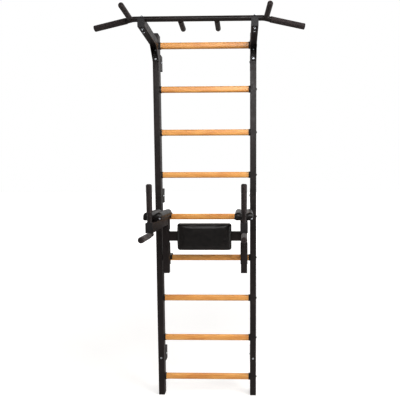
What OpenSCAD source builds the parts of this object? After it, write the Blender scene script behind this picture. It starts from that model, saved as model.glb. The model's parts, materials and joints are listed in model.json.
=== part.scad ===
// Wall bars with a bolted-on pull-up bar and a hang-on dip station with a backrest.
// Millimetres. +Z is up and +Y points into the wall, which is the plane y = 0.
// The origin is on the floor at the wall, midway between the two uprights.

/* [Ladder] */
// Height of the ladder, floor to the top of the upright caps
total_h = 2420; // [2010:10:2910]
// Width of the ladder across the outer sides of the uprights
total_w = 670; // [550:10:820]
// Width of an upright's tube, side to side
post_w = 40; // [36:1:50]
// Depth of an upright's tube, front to back
post_d = 60; // [50:1:80]
// Wall thickness of an upright's tube
post_t = 2; // [1.5:0.5:3]
// Clear gap from the wall to the back of the uprights
wall_gap = 65; // [55:1:100]
// Height of the lowest rung's centre above the floor
first_rung_z = 122; // [90:1:200]
// Distance from the ladder's top down to the highest rung's centre
top_rung_drop = 74; // [70:1:200]

/* [Rungs] */
// Height of a rung's section
rung_h = 38; // [30:1:46]
// Depth of a rung's section
rung_d = 30; // [24:1:40]
// Corner radius of a rung's section
rung_r = 10; // [5:0.5:12]
// Length of the cup that holds each rung end
cup_l = 10; // [6:1:20]
// Wall thickness of a rung cup
cup_t = 2; // [1.5:0.5:3]

/* [Wall brackets] */
// Height of a wall bracket
bracket_h = 96; // [80:1:140]
// Thickness of the bracket plates
bracket_t = 4; // [3:0.5:6]
// Spacing of the two wall screws in a bracket
wall_screw_pitch = 56; // [40:1:70]
// Diameter of a wall screw hole
wall_screw_hole = 9; // [6:0.5:12]
// Drop of the highest bracket's centre below the highest rung's centre
top_bracket_drop = 92; // [70:1:120]

/* [Pull-up bar] */
// Diameter of the pull-up bar
bar_dia = 28; // [25:0.5:34]
// Wall thickness of the pull-up bar and its grip tubes
bar_t = 2; // [1.5:0.5:3]
// Height of the bar's axis below the ladder's top
bar_drop = 50; // [40:1:120]
// Distance of the bar's axis in front of the uprights
bar_reach = 362; // [250:1:450]
// Distance from an upright's outer side to the bend in the bar
bend_out = 28; // [22:1:80]
// Length of an angled bar end, from the bend to its tip
wing_l = 236; // [150:1:300]
// Angle that a bar end sweeps back towards the wall
wing_sweep = 11.4; // [0:0.1:20]
// Angle that a bar end falls below level
wing_fall = 7.8; // [0:0.1:15]
// Thickness that the sleeve on a bar end adds to its radius
wing_sleeve_t = 2.5; // [2:0.5:6]
// Half the spacing of the two inner grips
inner_grip_x = 103; // [80:1:200]
// Diameter of the tube inside the short grips
grip_tube_dia = 24; // [20:0.5:25]
// Thickness that the sleeves on the short grips add to that tube's radius
grip_sleeve_t = 3; // [2:0.5:6]
// Length of a short grip, from the bar's axis to its tip
grip_l = 150; // [110:1:200]

/* [Pull-up arms] */
// Width of an arm's tube
arm_w = 40; // [36:1:50]
// Height of an arm's tube
arm_h = 50; // [44:1:70]
// Wall thickness of an arm's tube
arm_t = 2.5; // [2:0.5:4]
// Length of arm in front of the bar's surface
arm_nose = 10; // [8:1:40]
// Thickness of the arm's mounting plate
plate_t = 5; // [4:0.5:8]
// Diameter of the cross holes in the arms
arm_hole_dia = 9; // [6:0.5:14]

/* [Dip station] */
// Distance from an upright's centre line in to a dip frame tube's centre line
dip_inset = 61; // [55:1:80]
// Width and depth of a dip frame tube
dip_tube = 40; // [35:1:50]
// Clear gap between the uprights' front and the dip frame tubes
dip_standoff = 52; // [40:1:80]
// Length of dip frame tube below the lower hooked rung's centre
dip_tail = 82; // [60:1:120]
// Length of dip frame tube above the upper hooked rung's centre
dip_head = 46; // [40:1:60]
// Reach of a dip arm in front of the uprights
dip_reach = 560; // [450:1:650]
// Height of a dip arm's tube
dip_arm_h = 54; // [44:1:60]
// Drop of a dip arm's underside below the upper hooked rung's centre
dip_arm_drop = 42; // [40:1:60]
// Height of the beam between the dip frame tubes
beam_h = 60; // [40:1:80]
// Depth of that beam
beam_d = 30; // [20:1:40]
// Rise of the beam's centre above the lower hooked rung's centre
beam_rise = 159; // [130:1:190]
// Diameter of the dip handles' tube
handle_tube_dia = 26; // [22:0.5:28]
// Thickness that the handles' sleeves add to that tube's radius
handle_sleeve_t = 2.5; // [2:0.5:6]
// Height of an upright hand grip above its arm
hand_grip_h = 208; // [150:1:260]
// Length of an upright hand grip's sleeve
hand_sleeve_l = 154; // [110:1:190]
// Reach of the lower handles in front of the dip arms
handle_reach = 190; // [140:1:240]

/* [Pads] */
// Width of the backrest cushion
backrest_w = 345; // [250:1:345]
// Height of the backrest cushion
backrest_h = 171; // [120:1:190]
// Thickness of the backrest cushion, without its board
backrest_t = 42; // [30:1:60]
// Width of an arm pad
pad_w = 110; // [90:1:118]
// Length of an arm pad
pad_l = 340; // [260:1:360]
// Height of an arm pad at its two ridges
pad_h = 42; // [36:1:60]
// Thickness of the boards inside the pads
board_t = 10; // [8:1:15]

/* [Hidden] */
$fn = 64;

coat = "#2a2526";
beech = "#dfa25a";
zinc = "#b9bcc0";
plastic = "#1c1a1a";
foam = "#302c2d";
leather = "#171311";
plywood = "#c79a63";

// Fits and small features
fit = 0.3;              // slack between a plug or a sleeve and its tube
tube_r = 3;             // outer corner radius of every rectangular tube
seam_gap = 0.6;         // joint line between an upright's two lengths
bolt_d = 8;             // shank of the M8 bolts
hole_d = bolt_d + 0.6;  // clearance hole for an M8 bolt
head_d = 14;            // button head of an M8 bolt
head_h = 4.5;
nut_af = 13;            // an M8 nut, across its flats
nut_r = nut_af / 2 / cos(30);
nut_h = 6.5;
plug_flange = 3;        // visible edge of an end plug
plug_depth = 22;        // length of an end plug inside its tube
plug_t = 2.5;           // wall of an end plug

// Ladder
rung_count = 9;
pitch = (total_h - first_rung_z - top_rung_drop) / (rung_count - 1);
post_x = (total_w - post_w) / 2;
inner_x = post_x - post_w / 2;
post_back_y = -wall_gap;
post_front_y = -wall_gap - post_d;
post_y = -wall_gap - post_d / 2;
foot_h = 4;
cap_h = 12;
cap_chamfer = 7;
splice_l = 160;
splice_t = 2.5;
rung_bolt_l = 45;       // length of rung bolt inside the wood
function rung_z(i) = first_rung_z + (i - 1) * pitch;
seam_z = rung_z(5) + pitch / 2;
bracket_low_z = rung_z(1) + pitch / 2;
bracket_overlap = 14;   // the post bracket's web ends this far from the wall
side_bolt_y = -wall_gap / 2 - 10;
rear_bolt_dz = 30;      // splice bolts above and below the seam

// Pull-up bar and arms
bar_r = bar_dia / 2;
wing_sleeve_dia = bar_dia + 2 * wing_sleeve_t;
grip_dia = grip_tube_dia + 2 * grip_sleeve_t;
bar_y = post_front_y - bar_reach;
bar_z = total_h - bar_drop;
bend_x = post_x + post_w / 2 + bend_out;
wing_dir = [cos(wing_fall) * cos(wing_sweep), cos(wing_fall) * sin(wing_sweep), -sin(wing_fall)];
bend_turn = acos(wing_dir[0]);
bend_roll = atan2(wing_dir[2], wing_dir[1]);
weld_gap = 0.1;         // weld line between the bar's middle and its ends
wing_sleeve_start = 40;
grip_sleeve_start = 20;
round_end = 8;
outer_grip_s = 15;      // the outer grip's root, measured from the bend
outer_grip_out = 6;     // the outer grip leans out and up by these angles
outer_grip_up = 9.5;
inner_grip_fall = 2.5;
arm_top_z = bar_z;
arm_base_z = bar_z - arm_h;
arm_front_y = bar_y - bar_r - arm_nose;
nose_skirt = arm_nose - plug_flange - 2;  // the front plug's skirt ends short of the bar
upper_arm_bolt_z = arm_base_z - 9;
// the highest bracket keeps clear of the nut of the upper arm bolt
bracket_top_z = min(rung_z(rung_count) - top_bracket_drop, upper_arm_bolt_z - nut_r - 1 - bracket_h / 2);
mount_top_z = arm_top_z + 5;
mount_base_z = bracket_top_z - 12;
mount_w = max(post_w, arm_w);
gusset_run = 72;
gusset_t = 4;
front_hole_y = bar_y + 39;
second_nut_y = front_hole_y + arm_hole_dia / 2 + bolt_d / 2 + 0.5;
rear_hole_y = post_front_y - 120;
arm_hole_z = arm_base_z + 15;

// Dip station
low_rung = 4;
high_rung = 5;
low_z = rung_z(low_rung);
high_z = rung_z(high_rung);
dip_x = post_x - dip_inset;
dip_back_y = post_front_y - dip_standoff;
dip_y = dip_back_y - dip_tube / 2;
dip_front_y = dip_back_y - dip_tube;
dip_base_z = low_z - dip_tail;
dip_top_z = high_z + dip_head;
dip_t = 2;
handle_dia = handle_tube_dia + 2 * handle_sleeve_t;
hook_w = dip_tube + 6;
hook_t = 5;
liner_t = 2;
hook_gap = 0.3;         // running gap between a liner and its rung
hook_leg = 28;          // how far a hook's legs reach down beside the rung
strap_drop = 30;        // hook strap below the lower rung's centre
low_strap_top = low_z + 114;
high_strap_base = high_z - 78;
low_bolt_z = low_z + 97;
high_bolt_z = high_z - 62;
beam_z = low_z + beam_rise;
beam_t = 2;
dip_arm_z0 = high_z - dip_arm_drop;
dip_arm_z1 = dip_arm_z0 + dip_arm_h;
dip_arm_front_y = post_front_y - dip_reach;
hand_grip_y = dip_arm_front_y + 18;
handle_z = dip_arm_z0 - handle_tube_dia / 2;
handle_rear_y = dip_arm_front_y + 58;
saddle_y0 = dip_arm_front_y + 14;
saddle_l = 36;
saddle_w = 18;
saddle_h = 8;

// Pads
board_inset = 5;
backrest_board_t = 12;
backrest_corner = 14;
backrest_screw_x = 110;
backrest_screw_z = 16;
beam_front_y = dip_y - beam_d / 2;
m6_d = 6;
pad_rear_y = dip_front_y - 48;
pad_front_y = pad_rear_y - pad_l;
pad_plate_t = 3;
pad_leg_h = 7.5;
pad_plate_w = 88;
pad_plate_l = pad_l - 30;
pad_base_z = dip_arm_z1 + pad_leg_h + pad_plate_t;
pad_ridge_r = 19;
pad_ridge_x = pad_w / 2 - pad_ridge_r;
pad_valley = 25;
lug_w = 20;
lug_x = 43;             // the lug and its screw stand on the +X side of both arms
lug_h = 18;
lug_screw_rise = board_t / 2 + 1;
lug_screw_l = 20;       // length of lug screw inside the board

// ---------- shared shapes ----------

// A rectangle with rounded corners, centred.
module rounded_rect(w, h, r) {
    square([w - 2 * r, h], center = true);
    square([w, h - 2 * r], center = true);
    for (sx = [-1, 1], sy = [-1, 1])
        translate([sx * (w / 2 - r), sy * (h / 2 - r)]) circle(r);
}

// The section of a rectangular tube.
module tube_section(w, h, t) {
    difference() {
        rounded_rect(w, h, tube_r);
        rounded_rect(w - 2 * t, h - 2 * t, max(tube_r - t, 0.5));
    }
}

// Extrudes a section drawn in X and Z towards -Y.
module along_minus_y(len) {
    rotate([90, 0, 0]) linear_extrude(len) children();
}

// Extrudes a section drawn in Y and Z along X, centred on x = 0.
module along_x(len) {
    translate([-len / 2, 0, 0]) rotate([90, 0, 90]) linear_extrude(len) children();
}

// Draws a part on the right and its mirror image on the left.
module both_sides() {
    children();
    mirror([1, 0, 0]) children();
}

// A button-head bolt: head above z = 0, shank below it.
module bolt(len, d = bolt_d, hd = head_d, hh = head_h) {
    edge = hh * 0.6;
    difference() {
        union() {
            rotate_extrude() intersection() {
                union() {
                    square([hd / 2 - edge, hh]);
                    square([hd / 2, hh - edge]);
                    translate([hd / 2 - edge, hh - edge]) circle(edge);
                }
                square([hd / 2, hh]);
            }
            translate([0, 0, -len]) cylinder(d = d, h = len);
        }
        translate([0, 0, hh * 0.4]) cylinder(d = d * 0.7, h = hh, $fn = 6);
    }
}

// A screw for the pads and the backrest.
module small_screw(len) {
    bolt(len, m6_d, 11, 3.5);
}

// A hexagon nut, from z = 0 up.
module nut(d = bolt_d, af = nut_af, h = nut_h) {
    difference() {
        cylinder(r = af / 2 / cos(30), h = h, $fn = 6);
        translate([0, 0, -1]) cylinder(d = d + 0.2, h = h + 2);
    }
}

// A square-ended plastic plug: its flange is above z = 0, its skirt below it.
module tube_plug(w, h, t) {
    difference() {
        union() {
            linear_extrude(plug_flange) rounded_rect(w, h, tube_r);
            translate([0, 0, -plug_depth]) linear_extrude(plug_depth)
                rounded_rect(w - 2 * t - 2 * fit, h - 2 * t - 2 * fit, 1);
        }
        translate([0, 0, -plug_depth - 1]) linear_extrude(plug_depth)
            rounded_rect(w - 2 * (t + fit + plug_t), h - 2 * (t + fit + plug_t), 1);
    }
}

// A round grip sleeve with a rounded, closed far end, from z = s0 to z = s1.
module grip_sleeve(d, bore, s0, s1) {
    r = d / 2;
    difference() {
        union() {
            translate([0, 0, s0]) cylinder(r = r, h = s1 - s0 - round_end);
            translate([0, 0, s1 - round_end]) rotate_extrude() intersection() {
                union() {
                    square([r - round_end, round_end]);
                    translate([r - round_end, 0]) circle(round_end);
                }
                square([r, round_end]);
            }
        }
        translate([0, 0, s0 - 1]) cylinder(d = bore, h = s1 - s0 - 3);
    }
}

// A round tube from z = s0 to z = s1.
module round_tube(d, t, s0, s1) {
    difference() {
        translate([0, 0, s0]) cylinder(d = d, h = s1 - s0);
        translate([0, 0, s0 - 1]) cylinder(d = d - 2 * t, h = s1 - s0 + 2);
    }
}

// ---------- ladder ----------

module rung_holes() {
    for (i = [1:rung_count])
        translate([0, post_y, rung_z(i)]) rotate([0, 90, 0])
            cylinder(d = hole_d, h = total_w, center = false);
}

// Holes through an upright, front to back, for the bracket and arm bolts.
module post_cross_holes() {
    for (z = [bracket_low_z, bracket_top_z, upper_arm_bolt_z])
        translate([post_x, 0, z]) rotate([90, 0, 0]) cylinder(d = hole_d, h = -post_front_y + 10);
    for (s = [-1, 1])
        translate([post_x, post_y, seam_z + s * rear_bolt_dz]) rotate([-90, 0, 0])
            cylinder(d = hole_d, h = post_d);
}

module upright(z0, z1) {
    color(coat) difference() {
        translate([post_x, post_y, z0]) linear_extrude(z1 - z0) tube_section(post_w, post_d, post_t);
        rung_holes();
        post_cross_holes();
    }
}

module right_upright_lower() { upright(foot_h, seam_z - seam_gap / 2); }
module left_upright_lower() { mirror([1, 0, 0]) right_upright_lower(); }
module right_upright_upper() { upright(seam_z + seam_gap / 2, total_h - cap_h); }
module left_upright_upper() { mirror([1, 0, 0]) right_upright_upper(); }

// Sleeves inside the uprights that join the lower and upper lengths.
module upright_splices() {
    inset = 2 * (post_t + fit);
    color(zinc) both_sides() difference() {
        translate([post_x, post_y, seam_z - splice_l / 2]) linear_extrude(splice_l) difference() {
            rounded_rect(post_w - inset, post_d - inset, 1);
            rounded_rect(post_w - inset - 2 * splice_t, post_d - inset - 2 * splice_t, 0.5);
        }
        post_cross_holes();
    }
}

// A cap's outline from one side: half as wide as w, with chamfered top corners.
module cap_outline(w) {
    shoulder = cap_h - cap_chamfer;
    top = w - cap_chamfer;
    polygon([[-w, 0], [w, 0], [w, shoulder], [top, cap_h], [-top, cap_h], [-w, shoulder]]);
}

// Chamfered caps in the tops of the uprights.
module upright_top_caps() {
    color(plastic) both_sides() translate([post_x, post_y, total_h - cap_h]) {
        intersection() {
            along_x(post_w) cap_outline(post_d / 2);
            translate([0, post_d / 2, 0]) along_minus_y(post_d) cap_outline(post_w / 2);
        }
        translate([0, 0, -plug_depth]) linear_extrude(plug_depth) difference() {
            rounded_rect(post_w - 2 * (post_t + fit), post_d - 2 * (post_t + fit), 1);
            rounded_rect(post_w - 2 * (post_t + fit + plug_t), post_d - 2 * (post_t + fit + plug_t), 1);
        }
    }
}

// Plastic feet in the bottoms of the uprights.
module floor_feet() {
    color(plastic) both_sides() translate([post_x, post_y, 0]) {
        linear_extrude(foot_h) rounded_rect(post_w, post_d, tube_r);
        translate([0, 0, foot_h]) linear_extrude(plug_depth) difference() {
            rounded_rect(post_w - 2 * (post_t + fit), post_d - 2 * (post_t + fit), 1);
            rounded_rect(post_w - 2 * (post_t + fit + plug_t), post_d - 2 * (post_t + fit + plug_t), 1);
        }
    }
}

module rung(i) {
    len = 2 * (inner_x - cup_t);
    color(beech) translate([0, post_y, rung_z(i)]) difference() {
        along_x(len) rounded_rect(rung_d, rung_h, rung_r);
        both_sides() translate([len / 2 - rung_bolt_l - 5, 0, 0]) rotate([0, 90, 0])
            cylinder(d = bolt_d + 0.4, h = rung_bolt_l + 10);
    }
}

// The cups between the rung ends and the uprights.
module rung_cups() {
    wall = 2 * (cup_t + fit / 2);
    color(plastic) both_sides() for (i = [1:rung_count])
        translate([inner_x - cup_l / 2, post_y, rung_z(i)]) difference() {
            along_x(cup_l) rounded_rect(rung_d + wall, rung_h + wall, rung_r + cup_t);
            translate([-cup_t, 0, 0]) along_x(cup_l) rounded_rect(rung_d + fit, rung_h + fit, rung_r);
            translate([-cup_l, 0, 0]) rotate([0, 90, 0]) cylinder(d = hole_d, h = 2 * cup_l);
        }
}

module rung_bolts() {
    color(coat) both_sides() for (i = [1:rung_count])
        translate([post_x + post_w / 2, post_y, rung_z(i)]) rotate([0, 90, 0])
            bolt(post_w + cup_t + rung_bolt_l);
}

// ---------- wall brackets ----------

// The half of a bracket that is screwed to the wall: a foot on the wall and a web on the inner side.
module wall_bracket(z) {
    web = wall_gap - 8;
    color(coat) translate([inner_x, 0, z - bracket_h / 2]) difference() {
        union() {
            translate([0, -bracket_t, 0]) cube([post_w, bracket_t, bracket_h]);
            translate([0, -web, 0]) cube([bracket_t, web, bracket_h]);
        }
        for (s = [-1, 1])
            translate([post_w / 2, 1, bracket_h / 2 + s * wall_screw_pitch / 2]) rotate([90, 0, 0])
                cylinder(d = wall_screw_hole, h = bracket_t + 2);
        translate([-1, side_bolt_y, bracket_h / 2]) rotate([0, 90, 0])
            cylinder(d = hole_d, h = bracket_t + 2);
    }
}

module wall_bracket_lower_right() { wall_bracket(bracket_low_z); }
module wall_bracket_lower_left() { mirror([1, 0, 0]) wall_bracket(bracket_low_z); }
module wall_bracket_middle_right() { wall_bracket(seam_z); }
module wall_bracket_middle_left() { mirror([1, 0, 0]) wall_bracket(seam_z); }
module wall_bracket_upper_right() { wall_bracket(bracket_top_z); }
module wall_bracket_upper_left() { mirror([1, 0, 0]) wall_bracket(bracket_top_z); }

// The half of a bracket that is bolted to the back of the upright.
module post_bracket(z, holes) {
    x0 = inner_x + bracket_t;
    difference() {
        translate([x0, post_back_y, z - bracket_h / 2]) union() {
            cube([post_w - bracket_t, bracket_t, bracket_h]);
            cube([bracket_t, wall_gap - bracket_overlap, bracket_h]);
        }
        translate([inner_x, side_bolt_y, z]) rotate([0, 90, 0]) cylinder(d = hole_d, h = post_w);
        for (dz = holes)
            translate([post_x, post_back_y + bracket_t + 1, z + dz]) rotate([90, 0, 0])
                cylinder(d = hole_d, h = bracket_t + 2);
    }
}

module post_brackets() {
    color(coat) both_sides() {
        post_bracket(bracket_low_z, [0]);
        post_bracket(seam_z, [-rear_bolt_dz, rear_bolt_dz]);
        post_bracket(bracket_top_z, [0]);
    }
}

// Side bolts that join the bracket halves, front-to-back bolts of the lowest pair, and splice bolts.
module bracket_bolts() {
    splice_y = post_back_y - post_t - fit - splice_t;
    color(zinc) both_sides() {
        for (z = [bracket_low_z, seam_z, bracket_top_z]) {
            translate([inner_x, side_bolt_y, z]) rotate([0, -90, 0]) bolt(2 * bracket_t + nut_h + 2);
            translate([inner_x + 2 * bracket_t, side_bolt_y, z]) rotate([0, 90, 0]) nut();
        }
        translate([post_x, post_front_y, bracket_low_z]) rotate([90, 0, 0])
            bolt(post_d + bracket_t + nut_h + 2);
        translate([post_x, post_back_y + bracket_t, bracket_low_z]) rotate([-90, 0, 0]) nut();
        for (s = [-1, 1]) translate([post_x, 0, seam_z + s * rear_bolt_dz]) {
            translate([0, post_back_y + bracket_t, 0]) rotate([-90, 0, 0])
                bolt(bracket_t + post_t + fit + splice_t + nut_h + 2);
            translate([0, splice_y, 0]) rotate([90, 0, 0]) nut();
        }
    }
}

// ---------- pull-up bar and its arms ----------

// The straight middle of the bar, cut off square to each mitre. The child is its section.
module bar_middle() {
    reach = 60;           // the mitre cutters reach this far from a bend
    difference() {
        along_x(2 * (bend_x + reach)) children();
        at_bend(bend_turn / 2) translate([-weld_gap / 2, -reach, -reach]) cube(2 * reach);
    }
}

// The two angled ends of the bar. The child is their section.
module bar_ends() {
    reach = 60;
    difference() {
        at_bend(bend_turn) translate([-reach, 0, 0]) rotate([90, 0, 90])
            linear_extrude(wing_l + reach) children();
        at_bend(bend_turn / 2) translate([weld_gap / 2 - 2 * reach, -reach, -reach]) cube(2 * reach);
    }
}

// Places children at both bends, with +X turned by an angle from the bar's axis towards its end.
module at_bend(turn) {
    both_sides() translate([bend_x, 0, 0]) rotate([bend_roll, 0, 0]) rotate([0, 0, turn]) children();
}

// Places children on an angled bar end, with +Z running out along it from the bend.
module on_wing() {
    translate([0, bar_y, bar_z]) at_bend(bend_turn) rotate([0, 90, 0]) children();
}

module bar_section() {
    difference() {
        circle(bar_r);
        circle(bar_r - bar_t);
    }
}

module pull_up_bar() {
    color(coat) translate([0, bar_y, bar_z]) {
        difference() {
            bar_middle() bar_section();
            both_sides() translate([post_x, 0, -bar_r - 1]) cylinder(d = hole_d, h = bar_dia + 2);
        }
        bar_ends() bar_section();
    }
}

module bar_end_sleeves() {
    color(foam) on_wing() difference() {
        translate([0, 0, wing_sleeve_start]) cylinder(d = wing_sleeve_dia, h = wing_l - wing_sleeve_start);
        translate([0, 0, wing_sleeve_start - 1]) cylinder(d = bar_dia + fit, h = wing_l);
    }
}

module bar_end_caps() {
    rim = 2;
    color(plastic) on_wing() translate([0, 0, wing_l]) {
        cylinder(d = wing_sleeve_dia, h = rim);
        translate([0, 0, rim]) cylinder(d1 = wing_sleeve_dia, d2 = wing_sleeve_dia - 2 * rim, h = rim);
        translate([0, 0, -plug_depth]) cylinder(d = bar_dia - 2 * bar_t - fit, h = plug_depth);
    }
}

// Places children at an outer grip's root, with +Z running along the grip towards the user.
module on_outer_grip() {
    root = outer_grip_s * wing_dir;
    both_sides() translate([bend_x + root[0], bar_y + root[1], bar_z + root[2]])
        rotate([90 - outer_grip_up, 0, outer_grip_out]) children();
}

// Places children at an inner grip's root, with +Z running along the grip towards the wall.
module on_inner_grip() {
    both_sides() translate([inner_grip_x, bar_y, bar_z]) rotate([-90 - inner_grip_fall, 0, 0]) children();
}

module outer_grip_tubes() {
    color(coat) difference() {
        on_outer_grip() round_tube(grip_tube_dia, bar_t, 0, grip_l - 6);
        on_wing() cylinder(r = bar_r + 0.05, h = wing_l);
    }
}

module outer_grip_sleeves() {
    color(foam) on_outer_grip() grip_sleeve(grip_dia, grip_tube_dia + fit, grip_sleeve_start, grip_l);
}

module inner_grip_tubes() {
    color(coat) difference() {
        on_inner_grip() round_tube(grip_tube_dia, bar_t, 0, grip_l - 6);
        translate([0, bar_y, bar_z]) along_x(2 * bend_x) circle(bar_r + 0.05);
    }
}

module inner_grip_sleeves() {
    color(foam) on_inner_grip() grip_sleeve(grip_dia, grip_tube_dia + fit, grip_sleeve_start, grip_l);
}

// A square tube that carries the bar in a round notch in its top.
module right_pull_up_arm() {
    y0 = post_front_y - plate_t;
    len = y0 - arm_front_y - plug_flange;
    color(coat) difference() {
        translate([post_x, y0, arm_base_z + arm_h / 2]) along_minus_y(len) tube_section(arm_w, arm_h, arm_t);
        translate([0, bar_y, bar_z]) along_x(total_w + 100) circle(bar_r + 0.1);
        for (y = [bar_y, second_nut_y])
            translate([post_x, y, arm_base_z - 1]) cylinder(d = hole_d, h = arm_h + 2);
        for (y = [front_hole_y, rear_hole_y])
            translate([0, y, arm_hole_z]) rotate([0, 90, 0]) cylinder(d = arm_hole_dia, h = total_w);
    }
}
module left_pull_up_arm() { mirror([1, 0, 0]) right_pull_up_arm(); }

// The plate and two cheeks that bolt an arm to the front of its upright.
module right_arm_mount() {
    y0 = post_front_y - plate_t;
    cheek_x = (arm_w - gusset_t) / 2;
    color(coat) difference() {
        union() {
            translate([post_x - mount_w / 2, y0, mount_base_z])
                cube([mount_w, plate_t, mount_top_z - mount_base_z]);
            for (s = [-1, 1])
                translate([post_x + s * cheek_x, y0, arm_base_z]) along_x(gusset_t)
                    polygon([[0, 0], [-gusset_run, 0], [0, mount_base_z + 8 - arm_base_z]]);
        }
        for (z = [bracket_top_z, upper_arm_bolt_z])
            translate([post_x, post_front_y + 1, z]) rotate([90, 0, 0])
                cylinder(d = hole_d, h = plate_t + 2);
    }
}
module left_arm_mount() { mirror([1, 0, 0]) right_arm_mount(); }

module arm_end_plugs() {
    color(plastic) both_sides() translate([post_x, arm_front_y + plug_flange, arm_base_z + arm_h / 2])
        rotate([90, 0, 0]) intersection() {
            tube_plug(arm_w, arm_h, arm_t);
            translate([-arm_w, -arm_h, -nose_skirt])
                cube([2 * arm_w, 2 * arm_h, nose_skirt + 2 * plug_flange]);
        }
}

// Two bolts a side clamp the arm's plate through the upright; the lower one also holds the wall bracket.
module arm_bolts() {
    reach = plate_t + post_d;
    color(zinc) both_sides() {
        translate([post_x, post_front_y - plate_t, bracket_top_z]) rotate([90, 0, 0])
            bolt(reach + bracket_t + nut_h + 2);
        translate([post_x, post_back_y + bracket_t, bracket_top_z]) rotate([-90, 0, 0]) nut();
        translate([post_x, post_front_y - plate_t, upper_arm_bolt_z]) rotate([90, 0, 0])
            bolt(reach + nut_h + 2);
        translate([post_x, post_back_y, upper_arm_bolt_z]) rotate([-90, 0, 0]) nut();
        translate([post_x, second_nut_y, arm_top_z]) bolt(arm_h + nut_h + 3);
        translate([post_x, second_nut_y, arm_base_z - nut_h]) nut();
    }
}

// Upright bolts through the bar and the arm's floor.
module bar_clamp_bolts() {
    top = bar_z + bar_r;
    color(zinc) both_sides() {
        translate([post_x, bar_y, top]) bolt(top - arm_base_z + nut_h + 3);
        translate([post_x, bar_y, arm_base_z - nut_h]) nut();
    }
}

// ---------- dip station ----------

module dip_bolt_holes() {
    for (z = [low_bolt_z, high_bolt_z])
        translate([dip_x, dip_back_y + hook_t + 1, z]) rotate([90, 0, 0])
            cylinder(d = hole_d, h = dip_tube + hook_t + 2);
}

module right_dip_tube() {
    z0 = dip_base_z + plug_flange;
    z1 = dip_top_z - plug_flange;
    color(coat) difference() {
        translate([dip_x, dip_y, z0]) linear_extrude(z1 - z0) tube_section(dip_tube, dip_tube, dip_t);
        dip_bolt_holes();
    }
}
module left_dip_tube() { mirror([1, 0, 0]) right_dip_tube(); }

module dip_tube_plugs() {
    color(plastic) both_sides() {
        translate([dip_x, dip_y, dip_top_z - plug_flange]) tube_plug(dip_tube, dip_tube, dip_t);
        translate([dip_x, dip_y, dip_base_z + plug_flange]) rotate([180, 0, 0])
            tube_plug(dip_tube, dip_tube, dip_t);
        translate([dip_x, dip_arm_front_y + plug_flange, (dip_arm_z0 + dip_arm_z1) / 2]) rotate([90, 0, 0])
            tube_plug(dip_tube, dip_arm_h, arm_t);
    }
}

// The saddle that sits over a rung: an outline in Y and Z, with its inside clear by gap.
module saddle_outline(gap, t) {
    half = rung_d / 2 + gap;
    top = rung_h / 2 + gap;
    difference() {
        translate([-half - t, top - hook_leg]) square([2 * (half + t), hook_leg + t]);
        translate([-half, top - hook_leg - 1]) square([2 * half, hook_leg + 1]);
    }
}

// A hook pair: a strap on the back of each dip tube, a shelf to the rung and a saddle over it.
module hooks(z, strap_z0, strap_z1) {
    gap = hook_gap + liner_t;
    top = z + rung_h / 2 + gap;
    shelf = post_y - rung_d / 2 - gap - dip_back_y;
    strap_l = max(strap_z1, top + hook_t) - strap_z0;
    color(coat) both_sides() difference() {
        translate([dip_x, 0, 0]) {
            translate([0, post_y, z]) along_x(hook_w) saddle_outline(gap, hook_t);
            translate([-hook_w / 2, dip_back_y, top]) cube([hook_w, shelf, hook_t]);
            translate([-hook_w / 2, dip_back_y, strap_z0]) cube([hook_w, hook_t, strap_l]);
        }
        dip_bolt_holes();
    }
}

module upper_hooks() { hooks(high_z, high_strap_base, high_z); }
module lower_hooks() { hooks(low_z, low_z - strap_drop, low_strap_top); }

module hook_liners() {
    color(plastic) both_sides() for (z = [low_z, high_z])
        translate([dip_x, post_y, z]) along_x(hook_w) saddle_outline(hook_gap, liner_t);
}

// Through bolts that clamp the hook straps to the dip tubes.
module dip_frame_bolts() {
    color(coat) both_sides() for (z = [low_bolt_z, high_bolt_z]) {
        translate([dip_x, dip_front_y, z]) rotate([90, 0, 0]) bolt(dip_tube + hook_t + nut_h + 2);
        translate([dip_x, dip_back_y + hook_t, z]) rotate([-90, 0, 0]) nut();
    }
}

module backrest_screw_places() {
    for (x = [-backrest_screw_x, backrest_screw_x], dz = [-backrest_screw_z, backrest_screw_z])
        translate([x, dip_y + beam_d / 2, beam_z + dz]) rotate([-90, 0, 0]) children();
}

module dip_cross_beam() {
    color(coat) difference() {
        translate([0, dip_y, beam_z]) along_x(2 * dip_x - dip_tube) tube_section(beam_d, beam_h, beam_t);
        backrest_screw_places() translate([0, 0, -beam_d - 1]) cylinder(d = m6_d + 0.6, h = beam_d + 2);
    }
}

module backrest_board() {
    w = backrest_w - 2 * board_inset;
    h = backrest_h - 2 * board_inset;
    color(plywood) difference() {
        translate([0, beam_front_y, beam_z]) along_minus_y(backrest_board_t)
            rounded_rect(w, h, backrest_corner - board_inset);
        backrest_screw_places() translate([0, 0, -beam_d - backrest_board_t + 2])
            cylinder(d = m6_d + 0.4, h = backrest_board_t);
    }
}

module backrest_cushion() {
    color(leather) translate([0, beam_front_y - backrest_board_t, beam_z])
        along_minus_y(backrest_t) rounded_rect(backrest_w, backrest_h, backrest_corner);
}

// Screws of the backrest, of the lugs in front of the arm pads, and of the plates under them.
module upholstery_screws() {
    color(zinc) {
        backrest_screw_places() small_screw(beam_d + backrest_board_t - 3);
        lug_screw_places() small_screw(pad_plate_t + board_inset + lug_screw_l);
        plate_screw_places() small_screw(pad_plate_t + board_t - 3);
    }
}

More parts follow.
